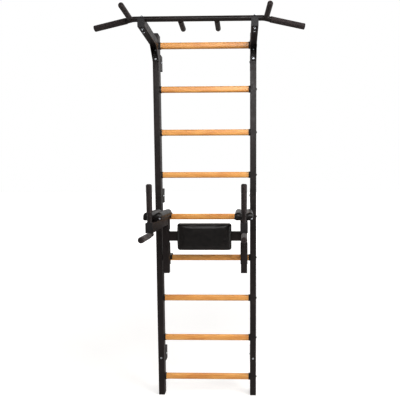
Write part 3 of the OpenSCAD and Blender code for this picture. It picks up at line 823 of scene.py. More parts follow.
def close_tree(
    tree: bpy.types.NodeTree, geometry: bpy.types.NodeSocket, material: bpy.types.NodeSocket
) -> None:
    """Ends a tree in Realize Instances and Set Material."""
    real = add_node(tree, "GeometryNodeRealizeInstances", {"Geometry": geometry})
    dressed = add_node(
        tree, "GeometryNodeSetMaterial", {"Geometry": real.outputs["Geometry"], "Material": material}
    )
    add_node(tree, "NodeGroupOutput", {"Geometry": dressed.outputs["Geometry"]})


def grow(
    name: str,
    seed: bpy.types.Object,
    tree: bpy.types.NodeTree,
    values: dict[str, object],
    smooth_deg: float = 35.0,
) -> bpy.types.Object:
    """Runs a Geometry Nodes tree on a seed object and keeps the result as a plain mesh.

    Args:
        name: The new piece's name.
        seed: The object that the tree works on. It is removed.
        tree: The tree.
        values: The inputs by socket identifier.
        smooth_deg: Edges that turn further than this stay sharp.

    Returns:
        The new piece, without a modifier.
    """
    modifier = seed.modifiers.new("grow", "NODES")
    modifier.node_group = tree
    for identifier, value in values.items():
        modifier[identifier] = value
    bpy.context.view_layer.update()
    evaluated = seed.evaluated_get(bpy.context.evaluated_depsgraph_get())
    data = bpy.data.meshes.new_from_object(evaluated)
    data.name = name
    bpy.data.objects.remove(seed)
    mesh = bmesh.new()
    mesh.from_mesh(data)
    return new_piece(name, mesh, smooth_deg)


@dataclass
class Mark:
    """A place where one of a stamp's shapes is set."""

    place: Vector
    turn: Matrix
    shape: int = 0
    stretch: tuple[float, float, float] = (1.0, 1.0, 1.0)


def facing(axis: Vector) -> Matrix:
    """The rotation that takes +Z to an axis."""
    return Vector((0, 0, 1)).rotation_difference(axis).to_matrix()


def stamp_tree(name: str, labels: list[str]) -> tuple[bpy.types.NodeTree, dict[str, str]]:
    """Builds a tree that sets a shape on each point, chosen, turned and stretched by the point's attributes.

    Args:
        name: The tree's name.
        labels: The name of each shape's input.

    Returns:
        The tree and its inputs' identifiers.
    """
    inputs = [(label, "NodeSocketObject") for label in labels] + [("Material", "NodeSocketMaterial")]
    tree, given, identifiers = new_tree(name, inputs)
    turn = add_node(tree, "GeometryNodeInputNamedAttribute", {"Name": "turn"}, data_type="FLOAT_VECTOR")
    stretch = add_node(tree, "GeometryNodeInputNamedAttribute", {"Name": "stretch"}, data_type="FLOAT_VECTOR")
    chosen = add_node(tree, "GeometryNodeInputNamedAttribute", {"Name": "shape"}, data_type="INT")
    rotation = add_node(tree, "FunctionNodeEulerToRotation", {"Euler": turn.outputs["Attribute"]})
    joined = add_node(tree, "GeometryNodeJoinGeometry")
    for index, label in enumerate(labels):
        mine = add_node(
            tree,
            "FunctionNodeCompare",
            {2: chosen.outputs["Attribute"], 3: index},
            data_type="INT",
            operation="EQUAL",
        )
        shape = add_node(tree, "GeometryNodeObjectInfo", {"Object": given.outputs[label]})
        placed = add_node(
            tree,
            "GeometryNodeInstanceOnPoints",
            {
                "Points": given.outputs["Geometry"],
                "Selection": mine.outputs["Result"],
                "Instance": shape.outputs["Geometry"],
                "Rotation": rotation.outputs["Rotation"],
                "Scale": stretch.outputs["Attribute"],
            },
        )
        tree.links.new(placed.outputs["Instances"], joined.inputs["Geometry"])
    close_tree(tree, joined.outputs["Geometry"], given.outputs["Material"])
    return tree, identifiers


def stamped(
    name: str,
    marks: list[Mark],
    shapes: dict[str, bpy.types.Object],
    material: bpy.types.Material,
    smooth_deg: float = 35.0,
) -> bpy.types.Object:
    """Sets the shapes at the marks and keeps the result as one plain mesh.

    Args:
        name: The new piece's name.
        marks: Where each shape goes.
        shapes: The shapes by the name of their input. They are removed.
        material: The material set in the tree.
        smooth_deg: Edges that turn further than this stay sharp.

    Returns:
        The new piece.
    """
    data = bpy.data.meshes.new("marks")
    data.from_pydata([mark.place for mark in marks], [], [])
    for label, kind in (("turn", "FLOAT_VECTOR"), ("stretch", "FLOAT_VECTOR"), ("shape", "INT")):
        data.attributes.new(label, kind, "POINT")
    for i, mark in enumerate(marks):
        data.attributes["turn"].data[i].vector = mark.turn.to_euler()[:]
        data.attributes["stretch"].data[i].vector = mark.stretch
        data.attributes["shape"].data[i].value = mark.shape
    seed = bpy.data.objects.new("marks", data)
    bpy.context.scene.collection.objects.link(seed)
    tree, identifiers = stamp_tree(f"stamp_{name}", list(shapes))
    values = {identifiers[label]: shape for label, shape in shapes.items()}
    values[identifiers["Material"]] = material
    piece = grow(name, seed, tree, values, smooth_deg)
    for shape in shapes.values():
        bpy.data.objects.remove(shape)
    return piece


@dataclass(frozen=True)
class Bead:
    """A rippled cord laid along a line: weld metal between steel pieces, or the welt of a sewn cover."""

    radius_mm: float = 2.6
    ripple_mm: float = 3.6
    ripple_share: float = 0.16
    rings_per_ripple: int = 4
    sides: int = 8

    def tree(self) -> tuple[bpy.types.NodeTree, dict[str, str]]:
        """A tree that turns edges into cords whose radius rises and falls along them."""
        floats = ["Bead radius", "Ripple pitch", "Ripple share"]
        inputs = [(label, "NodeSocketFloat") for label in floats] + [("Material", "NodeSocketMaterial")]
        tree, given, identifiers = new_tree("bead", inputs)
        line = add_node(tree, "GeometryNodeMeshToCurve", {"Mesh": given.outputs["Geometry"]})
        step = add_node(
            tree,
            "ShaderNodeMath",
            {0: given.outputs["Ripple pitch"], 1: self.rings_per_ripple},
            operation="DIVIDE",
        )
        even = add_node(
            tree,
            "GeometryNodeResampleCurve",
            {"Curve": line.outputs["Curve"], "Length": step.outputs["Value"]},
            mode="LENGTH",
        )
        along = add_node(tree, "GeometryNodeSplineParameter")
        count = add_node(
            tree,
            "ShaderNodeMath",
            {0: along.outputs["Length"], 1: given.outputs["Ripple pitch"]},
            operation="DIVIDE",
        )
        saw = add_node(tree, "ShaderNodeMath", {0: count.outputs["Value"]}, operation="FRACT")
        swell = add_node(
            tree,
            "ShaderNodeMath",
            {0: saw.outputs["Value"], 1: given.outputs["Ripple share"], 2: 1.0},
            operation="MULTIPLY_ADD",
        )
        sized = add_node(
            tree,
            "GeometryNodeSetCurveRadius",
            {"Curve": even.outputs["Curve"], "Radius": swell.outputs["Value"]},
        )
        section = add_node(
            tree,
            "GeometryNodeCurvePrimitiveCircle",
            {"Resolution": self.sides, "Radius": given.outputs["Bead radius"]},
        )
        sweep = add_node(
            tree,
            "GeometryNodeCurveToMesh",
            {"Curve": sized.outputs["Curve"], "Profile Curve": section.outputs["Curve"], "Fill Caps": True},
        )
        if "Scale" in sweep.inputs:
            tree.links.new(swell.outputs["Value"], sweep.inputs["Scale"])
        close_tree(tree, sweep.outputs["Mesh"], given.outputs["Material"])
        return tree, identifiers

    def lay(self, name: str, seams: list[list[Vector]], material: bpy.types.Material) -> bpy.types.Object:
        """Lays beads along seams.

        Args:
            name: The new piece's name.
            seams: Lines of points. A line whose ends coincide is closed.
            material: The material set in the tree.

        Returns:
            The beads as one piece.
        """
        points: list[Vector] = []
        edges: list[tuple[int, int]] = []
        for seam in seams:
            first = len(points)
            closed = (seam[0] - seam[-1]).length < 0.1 * MM
            kept = seam[:-1] if closed else seam
            points.extend(kept)
            edges.extend((first + i, first + i + 1) for i in range(len(kept) - 1))
            if closed:
                edges.append((first + len(kept) - 1, first))
        data = bpy.data.meshes.new("seams")
        data.from_pydata(points, edges, [])
        seed = bpy.data.objects.new("seams", data)
        bpy.context.scene.collection.objects.link(seed)
        tree, identifiers = self.tree()
        values = {
            identifiers["Bead radius"]: self.radius_mm * MM,
            identifiers["Ripple pitch"]: self.ripple_mm * MM,
            identifiers["Ripple share"]: self.ripple_share,
            identifiers["Material"]: material,
        }
        return grow(name, seed, tree, values, 60.0)


WELD = Bead()
WELT = Bead(radius_mm=1.5, ripple_mm=5.0, ripple_share=0.04, rings_per_ripple=2)


def box_seam(low: Vector, high: Vector, axis: int, level: float, ease: float) -> list[Vector]:
    """The closed line round a rectangular tube where it meets a plane.

    Args:
        low: The tube's lowest corner.
        high: Its highest corner.
        axis: The plane's normal, 0 for X, 1 for Y and 2 for Z.
        level: The plane's place on that axis.
        ease: The radius of the tube's corners.

    Returns:
        The line's points, the first repeated at the end.
    """
    first, second = [i for i in range(3) if i != axis]
    middle = (low + high) / 2
    points = []
    for a, b in rounded_section(high[first] - low[first], high[second] - low[second], ease, 2):
        point = middle.copy()
        point[first] += a
        point[second] += b
        point[axis] = level
        points.append(point)
    return [*points, points[0]]


# ---------------------------------------------------------------- fasteners


def hexagon_reach(angle: float, across_flats: float) -> float:
    """The distance from a hexagon's middle to its side in a direction."""
    off = (angle % (math.pi / 3)) - math.pi / 6
    return across_flats / 2 / math.cos(off)


@dataclass(frozen=True)
class ButtonBolt:
    """A button-head bolt with a hexagon socket and a rolled thread, on a thin washer."""

    head_d: float
    head_h: float
    shank_d: float
    sides: int = 24
    washer_share: float = 0.22
    socket_share: float = 0.34
    thread_pitch_mm: float = 1.25
    thread_turns: int = 8

    def head(self) -> bpy.types.Object:
        """The washer and the head, seated on z = 0."""
        mesh = bmesh.new()
        washer = self.head_h * self.washer_share
        radius = self.head_d / 2
        dome, crown = radius * 0.93, radius * 0.56
        rise = self.head_h - washer
        outline = [(radius, 0.0), (radius, washer), (dome, washer)]
        for i in range(6):
            turn = math.pi / 2 * i / 5
            outline.append(
                (crown + (dome - crown) * math.cos(turn), washer + rise * (0.15 + 0.85 * math.sin(turn)))
            )
        angles = [2 * math.pi * i / self.sides for i in range(self.sides)]
        rings = [[Vector((r * math.cos(a), r * math.sin(a), z)) for a in angles] for r, z in outline]
        reach = [hexagon_reach(a, self.head_d * self.socket_share) for a in angles]
        for depth in (0.0, 0.62):
            level = washer + rise * (1 - depth)
            rings.append([Vector((r * math.cos(a), r * math.sin(a), level)) for a, r in zip(angles, reach)])
        loft(mesh, rings)
        return new_piece("bolt_head", mesh)

    def shank(self) -> bpy.types.Object:
        """A shank one metre long below z = 0, for stretching."""
        mesh = bmesh.new()
        turned(mesh, Matrix(), [(self.shank_d / 2 * 0.94, -1.0), (self.shank_d / 2 * 0.94, 0.0)], self.sides)
        return new_piece("bolt_shank", mesh)

    def thread(self) -> bpy.types.Object:
        """The last turns of the thread, rising from the bolt's tip at z = 0."""
        mesh = bmesh.new()
        pitch = self.thread_pitch_mm * MM
        crest, root = self.shank_d / 2, self.shank_d / 2 - 0.54 * pitch
        outline = [(root * 0.9, 0.0), (root, 0.4 * pitch)]
        for turn in range(self.thread_turns):
            height = (turn + 0.6) * pitch
            outline += [(root, height), (crest, height + 0.4 * pitch), (crest, height + 0.55 * pitch)]
        outline.append((root, (self.thread_turns + 0.6) * pitch))
        turned(mesh, Matrix(), outline, self.sides)
        return new_piece("bolt_thread", mesh)


@dataclass(frozen=True)
class HexNut:
    """A hexagon nut with its corners turned off at both faces."""

    across_flats: float
    height: float
    sides: int = 24
    face_share: float = 0.96

    def shape(self) -> bpy.types.Object:
        """The nut from z = 0 up."""
        mesh = bmesh.new()
        angles = [2 * math.pi * i / self.sides for i in range(self.sides)]
        face = self.across_flats / 2 * self.face_share
        reach = [hexagon_reach(a, self.across_flats) for a in angles]
        drop = [(r - face) * 0.55 for r in reach]
        circle = [Vector((face * math.cos(a), face * math.sin(a), 0)) for a in angles]
        low = [Vector((r * math.cos(a), r * math.sin(a), d)) for a, r, d in zip(angles, reach, drop)]
        high = [Vector((p.x, p.y, self.height - p.z)) for p in low]
        top = [Vector((p.x, p.y, self.height)) for p in circle]
        loft(mesh, [circle, low, high, top])
        return new_piece("nut", mesh)


class FastenerSet:
    """The bolts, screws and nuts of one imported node, made again with sockets, washers and threads."""

    def __init__(self, shop: Workshop, node: str, slot: Slot, body: Body) -> None:
        """Reads where each bolt and nut sits and builds them all as one piece."""
        self.marks: list[Mark] = []
        self.bolt: ButtonBolt | None = None
        self.nut = HexNut(13 * MM, 6.5 * MM)
        for solid in solids_of(shop.nodes[node]):
            self.read(solid)
        shapes = {
            "Head": self.bolt.head(),
            "Shank": self.bolt.shank(),
            "Thread end": self.bolt.thread(),
            "Nut": self.nut.shape(),
        }
        piece = stamped(f"{node}_set", self.marks, shapes, shop.finishes.by_slot[slot])
        shop.fit(piece, slot, body, node)

    def read(self, solid: Solid) -> None:
        """Marks the shapes of one bolt or nut."""
        sides = sorted(range(3), key=lambda i: solid.size[i])
        if solid.size[sides[0]] < 0.7 * solid.size[sides[1]]:
            self.read_nut(solid, sides[0])
        else:
            self.read_bolt(solid, sides[2])

    def read_nut(self, solid: Solid, axis: int) -> None:
        """Marks a nut, whose thickness runs along an axis."""
        along = Vector([float(i == axis) for i in range(3)])
        self.nut = HexNut(sorted(solid.size)[1], solid.size[axis])
        self.marks.append(Mark(solid.centre - along * solid.size[axis] / 2, facing(along), 3))

    def read_bolt(self, solid: Solid, axis: int) -> None:
        """Marks a bolt's head, shank and thread end along an axis."""
        middle = np.array(solid.centre)
        across = np.delete(solid.points - middle, axis, axis=1)
        away = np.linalg.norm(across, axis=1)
        rim = solid.points[away > away.max() - 0.2 * MM][:, axis]
        sign = 1.0 if rim.mean() > middle[axis] else -1.0
        seat_level = rim.min() if sign > 0 else rim.max()
        tip_level = solid.low[axis] if sign > 0 else solid.high[axis]
        top_level = solid.high[axis] if sign > 0 else solid.low[axis]
        shank = away[np.abs(solid.points[:, axis] - tip_level) < 0.1 * MM].max()
        along = Vector([sign * float(i == axis) for i in range(3)])
        seat, tip = solid.centre, solid.centre
        seat[axis], tip[axis] = seat_level, tip_level
        self.bolt = ButtonBolt(2 * float(away.max()), abs(top_level - seat_level), 2 * float(shank))
        turn = facing(along)
        self.marks.append(Mark(seat, turn, 0))
        self.marks.append(Mark(seat, turn, 1, (1.0, 1.0, abs(seat_level - tip_level) - MM)))
        self.marks.append(Mark(tip, turn, 2))


# ---------------------------------------------------------------- the ladder


@dataclass
class Ladder:
    """The uprights, rungs, cups and wall brackets."""

    shop: Workshop
    rung_count: int = 9
    rung_ease_mm: float = 10.0
    rung_rings: int = 12
    cup_ease_mm: float = 1.0
    steel_ease_mm: float = 0.7
    plate_ease_mm: float = 0.9
    plastic_ease_mm: float = 1.2

    def build(self) -> None:
        """Builds every piece of the ladder."""
        for side in ("left", "right"):
            for part in ("lower", "upper"):
                self.shop.ease(f"{side}_upright_{part}", Slot.COAT, Body.LADDER, self.steel_ease_mm)
            for level in ("lower", "middle", "upper"):
                self.shop.ease(f"wall_bracket_{level}_{side}", Slot.COAT, Body.LADDER, self.plate_ease_mm)
        self.shop.ease("post_brackets", Slot.COAT, Body.LADDER, self.plate_ease_mm)
        self.shop.ease("upright_splices", Slot.ZINC, Body.LADDER, self.steel_ease_mm)
        self.shop.ease("upright_top_caps", Slot.PLASTIC, Body.LADDER, self.plastic_ease_mm)
        self.shop.ease("floor_feet", Slot.PLASTIC, Body.LADDER, self.plastic_ease_mm)
        for number in range(1, self.rung_count + 1):
            self.rung(f"rung_{number}")
        self.cups()
        FastenerSet(self.shop, "rung_bolts", Slot.COAT, Body.LADDER)
        FastenerSet(self.shop, "bracket_bolts", Slot.ZINC, Body.LADDER)

    def rung(self, node: str) -> None:
        """One planed rung: a rounded section with broken ends."""
        low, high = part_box(node)
        middle, size = (low + high) / 2, high - low
        mesh = bmesh.new()
        edge = 1.2 * MM
        stations = [(low.x, edge), (low.x + edge, 0.0)]
        for i in range(1, self.rung_rings):
            stations.append((low.x + size.x * i / self.rung_rings, 0.0))
        stations += [(high.x - edge, 0.0), (high.x, edge)]
        rings = []
        for x, inset in stations:
            section = rounded_section(
                size.y - 2 * inset, size.z - 2 * inset, self.rung_ease_mm * MM - inset, 8
            )
            rings.append([Vector((x, middle.y + a, middle.z + b)) for a, b in section])
        loft(mesh, rings)
        self.shop.fit(new_piece(f"{node}_beech", mesh), Slot.BEECH, Body.LADDER, node)

    def cup_shape(self, size: Vector, wall: float) -> bpy.types.Object:
        """A moulded cup from z = 0 up: a floor, a wall and a rounded lip.

        Args:
            size: Its width, height and depth.
            wall: The thickness of its wall.

        Returns:
            The shape, with its mouth towards +Z.
        """
        mesh = bmesh.new()
        lip = self.cup_ease_mm * MM
        corner = self.rung_ease_mm * MM + wall
        outline = [
            (lip, 0.0),
            (0.0, lip),
            (0.0, size.z - lip),
            (0.3 * lip, size.z - 0.3 * lip),
            (lip, size.z),
            (wall - 0.3 * lip, size.z - 0.2 * lip),
            (wall, size.z - lip),
            (wall, wall),
        ]
        rings = []
        for inset, height in outline:
            section = rounded_section(size.x - 2 * inset, size.y - 2 * inset, corner - inset)
            rings.append([Vector((a, b, height)) for a, b in section])
        loft(mesh, rings)
        return new_piece("cup", mesh)

    def cups(self) -> None:
        """The cups that hold the rung ends, each with its mouth towards the middle."""
        solids = solids_of(self.shop.nodes["rung_cups"])
        size = solids[0].size
        rung_low, rung_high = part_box("rung_1")
        wall = (size.y - (rung_high.y - rung_low.y)) / 2
        marks = []
        for solid in solids:
            inward = -1.0 if solid.centre.x > 0 else 1.0
            turn = Matrix(((0, 0, inward), (inward, 0, 0), (0, 1, 0)))
            seat = solid.centre - Vector((inward * size.x / 2, 0, 0))
            marks.append(Mark(seat, turn))
        shape = self.cup_shape(Vector((size.y, size.z, size.x)), wall)
        piece = stamped("rung_cups_moulded", marks, {"Cup": shape}, self.shop.finishes.by_slot[Slot.PLASTIC])
        self.shop.fit(piece, Slot.PLASTIC, Body.LADDER, "rung_cups")


# ---------------------------------------------------------------- grips


@dataclass(frozen=True)
class GripSleeve:
    """A foam sleeve pushed over a tube: a lip at the open end, shallow grooves and a closed round tip."""

    tip_ease_mm: float = 9.0
    lip_mm: float = 1.4
    lip_length_mm: float = 5.0
    sides: int = 40

    def outline(self, rod: Rod, closed_tip: bool) -> list[tuple[float, float]]:
        """The sleeve's outline from the root to the tip."""
        radius, length = rod.radius, rod.length
        lip, lip_l = self.lip_mm * MM, self.lip_length_mm * MM
        body = radius - 0.3 * MM
        points = [(radius - 3 * lip, 0.0), (radius - lip, 0.0), (radius, lip), (radius, lip_l - lip)]
        points += [(body, lip_l), (body, lip_l + 6 * MM)]
        if closed_tip:
            ease = self.tip_ease_mm * MM
            points += [(radius, length - ease - 20 * MM)]
            for i in range(7):
                turn = math.pi / 2 * i / 6
                points.append((radius - ease + ease * math.cos(turn), length - ease + ease * math.sin(turn)))
            points += [(2.2 * MM, length), (1.6 * MM, length - 1.5 * MM)]
        else:
            points += [(body, length - lip), (body - 0.5 * lip, length - 0.3 * lip), (body - lip, length)]
        return points

    def add(self, mesh: bmesh.types.BMesh, rod: Rod, closed_tip: bool = True) -> None:
        """Adds the sleeve on a rod that starts at its root."""
        turned(mesh, rod.frame(), self.outline(rod, closed_tip), self.sides)


def sleeves(
    shop: Workshop, node: str, body: Body, root: Vector, closed_tip: bool = True
) -> list[Rod]:
    """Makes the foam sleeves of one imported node.

    Args:
        shop: The workshop.
        node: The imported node.
        body: The body that they ride on.
        root: A place near the roots. Sleeves with closed tips take their own X in its stead.
        closed_tip: Whether the sleeves' far ends are closed and round.

    Returns:
        The sleeves' rods, each from its root to its tip.
    """
    mesh = bmesh.new()
    rods = []
    for solid in solids_of(shop.nodes[node]):
        rod = rod_of(solid)
        near = Vector((rod.start.x, root.y, root.z)) if closed_tip else Vector((0, root.y, root.z))
        rod = rod.starting_near(near)
        GripSleeve().add(mesh, rod, closed_tip)
        rods.append(rod)
    shop.fit(new_piece(f"{node}_foam", mesh), Slot.RUBBER, body, node)
    return rods


# ---------------------------------------------------------------- the pull-up bar


@dataclass
class PullUpBar:
    """The two arms with their mounts, and the bent bar with its grips."""

    shop: Workshop
    bend_radius_mm: float = 85.0
    bend_steps: int = 10
    bar_sides: int = 40
    tube_ease_mm: float = 0.7
    plate_ease_mm: float = 0.9
    plastic_ease_mm: float = 1.3
    tube_corner_mm: float = 3.0
    root_bead_points: int = 36

    def build(self) -> None:
        """Builds every piece of the bar and its arms."""
        for side in ("left", "right"):
            self.shop.ease(f"{side}_pull_up_arm", Slot.COAT, Body.LADDER, self.tube_ease_mm)
            self.shop.ease(f"{side}_arm_mount", Slot.COAT, Body.LADDER, self.plate_ease_mm)
        self.shop.ease("arm_end_plugs", Slot.PLASTIC, Body.LADDER, self.plastic_ease_mm)
        FastenerSet(self.shop, "arm_bolts", Slot.ZINC, Body.LADDER)
        FastenerSet(self.shop, "bar_clamp_bolts", Slot.ZINC, Body.LADDER)
        middle = max(solids_of(self.shop.nodes["pull_up_bar"]), key=lambda solid: solid.size.x)
        axis = middle.centre
        self.radius = middle.size.z / 2
        ends = sleeves(self.shop, "bar_end_sleeves", Body.LADDER, axis, False)
        self.bar(axis, ends)
        self.end_caps(ends)
        seams = []
        for kind in ("outer", "inner"):
            rods = sleeves(self.shop, f"{kind}_grip_sleeves", Body.LADDER, axis)
            seams += self.grip_tubes(kind, rods, axis, ends)
        seams += self.arm_seams()
        bead = WELD.lay("pull_up_welds", seams, self.shop.finishes.by_slot[Slot.COAT])
        self.shop.fit(bead, Slot.COAT, Body.LADDER)

    def bend_point(self, end: Rod, axis: Vector) -> Vector:
        """Where an angled end's line comes nearest the bar's middle line."""
        share = (axis.y - end.start.y) / end.along.y
        return end.start + end.along * share

    def bar(self, axis: Vector, ends: list[Rod]) -> None:
        """The bent bar as one smooth tube from tip to tip."""
        left, right = sorted(ends, key=lambda rod: rod.start.x)
        path = [left.end]
        for end, order in ((left, 1), (right, -1)):
            bend = self.bend_point(end, axis)
            inward = Vector((-math.copysign(1.0, bend.x), 0, 0))
            arms = (end.along, inward) if order > 0 else (inward, end.along)
            path += self.arc(bend, arms[0], arms[1])
        path.append(right.end)
        mesh = bmesh.new()
        rings = []
        for i, point in enumerate(path):
            before, after = path[max(i - 1, 0)], path[min(i + 1, len(path) - 1)]
            along = (after - before).normalized()
            up = (Vector((0, 0, 1)) - along * along.z).normalized()
            side = along.cross(up)
            angles = [2 * math.pi * k / self.bar_sides for k in range(self.bar_sides)]
            rings.append([point + self.radius * (math.cos(a) * side + math.sin(a) * up) for a in angles])
        loft(mesh, rings)
        self.shop.fit(new_piece("pull_up_bar_bent", mesh), Slot.COAT, Body.LADDER, "pull_up_bar")

    def arc(self, corner: Vector, one: Vector, other: Vector) -> list[Vector]:
        """A round bend at a corner.

        Args:
            corner: Where the two straight lines meet.
            one: The direction from the corner back along the first line.
            other: The direction from the corner on along the second line.

        Returns:
            Points from the first line to the second.
        """
        half = one.angle(other) / 2
        radius = self.bend_radius_mm * MM
        middle = corner + (one + other).normalized() * (radius / math.sin(half))
        start = corner + one * (radius / math.tan(half)) - middle
        end = corner + other * (radius / math.tan(half)) - middle
        turn = start.rotation_difference(end)
        steps = self.bend_steps
        points = []
        for i in range(steps + 1):
            part = turn.copy()
            part.angle = turn.angle * i / steps
            points.append(middle + part @ start)
        return points

    def end_caps(self, ends: list[Rod]) -> None:
        """Flat pressed-in caps with a rolled rim and a shallow dish."""
        mesh = bmesh.new()
        caps = solids_of(self.shop.nodes["bar_end_caps"])
        for end in ends:
            cap = min(caps, key=lambda solid: (solid.centre - end.end).length)
            tip = max(float((Vector(p) - end.end).dot(end.along)) for p in cap.points)
            frame = Rod(end.end, end.end + end.along * tip, end.radius).frame()
            radius = end.radius
            outline = [(radius - 0.4 * MM, 0.0), (radius, 0.4 * MM), (radius, 0.45 * tip)]
            for i in range(5):
                turn = math.pi / 2 * (i + 1) / 5
                inset = tip * 0.55 * (1 - math.cos(turn))
                outline.append((radius - inset, tip * (0.45 + 0.55 * math.sin(turn))))
            outline += [(radius * 0.72, tip), (radius * 0.66, tip * 0.8), (0.5 * MM, tip * 0.72)]
            turned(mesh, frame, outline, 40)
        self.shop.fit(new_piece("bar_end_caps_moulded", mesh), Slot.PLASTIC, Body.LADDER, "bar_end_caps")

    def grip_tubes(self, kind: str, rods: list[Rod], axis: Vector, ends: list[Rod]) -> list[list[Vector]]:
        """The bare tubes of two short grips, from inside the bar into their sleeves.

        Args:
            kind: "outer" or "inner".
            rods: The grips' sleeves.
            axis: A point on the bar's middle line.
            ends: The bar's angled ends.

        Returns:
            The line round each root, where it is welded to the bar.
        """
        mesh = bmesh.new()
        seams = []
        node = f"{kind}_grip_tubes"
        tubes = [rod_of(solid) for solid in solids_of(self.shop.nodes[node])]
        for rod, tube in zip(sorted(rods, key=lambda r: r.start.x), tubes):
            radius = min(tube.radius, rod.radius - 2 * MM)
            if kind == "outer":
                near = min(ends, key=lambda end: (end.start - rod.start).length)
                bar = Rod(self.bend_point(near, axis), near.end, self.radius)
            else:
                bar = Rod(Vector((-1, axis.y, axis.z)), Vector((1, axis.y, axis.z)), self.radius)
            root = rod.start - rod.along * (rod.start - self.nearest(bar, rod.start)).length
            line = self.root_line(Rod(root, rod.end, radius), bar)
            seams.append(line)
            stop = rod.start + rod.along * 10 * MM
            turned(mesh, Rod(root, stop, radius).frame(), [(radius, 0.0), (radius, (stop - root).length)], 36)
        self.shop.fit(new_piece(f"{node}_bare", mesh), Slot.COAT, Body.LADDER, node)
        return seams

    def nearest(self, bar: Rod, place: Vector) -> Vector:
        """The point of a bar's axis that is nearest to a place."""
        return bar.start + bar.along * (place - bar.start).dot(bar.along)

    def root_line(self, grip: Rod, bar: Rod) -> list[Vector]:
        """The closed saddle line where a grip's tube meets the bar's skin."""
        frame = grip.frame()
        points = []
        for i in range(self.root_bead_points):
            angle = 2 * math.pi * i / self.root_bead_points
            start = frame @ Vector((grip.radius * math.cos(angle), grip.radius * math.sin(angle), 0))
            way, along = grip.along, bar.along
            flat_way = way - along * way.dot(along)
            off = start - bar.start
            flat_off = off - along * off.dot(along)
            a, b = flat_way.dot(flat_way), flat_way.dot(flat_off)
            c = flat_off.dot(flat_off) - bar.radius**2
            root = max(b * b - a * c, 0.0)
            points.append(start + way * ((-b + math.sqrt(root)) / a))
        return [*points, points[0]]

    def arm_seams(self) -> list[list[Vector]]:
        """Where each arm is welded to its plate, and the cheeks to both."""
        seams = []
        for side in ("left", "right"):
            low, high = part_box(f"{side}_pull_up_arm")
            plate_low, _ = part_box(f"{side}_arm_mount")
            seams.append(box_seam(low, high, 1, high.y - 0.6 * MM, self.tube_corner_mm * MM))
            for x in (low.x + 4.6 * MM, high.x - 4.6 * MM):
                near, far = high.y - 1 * MM, plate_low.y
                seams.append([Vector((x, y, low.z - 0.5 * MM)) for y in (near, far)])
        return seams


# ---------------------------------------------------------------- the dip station


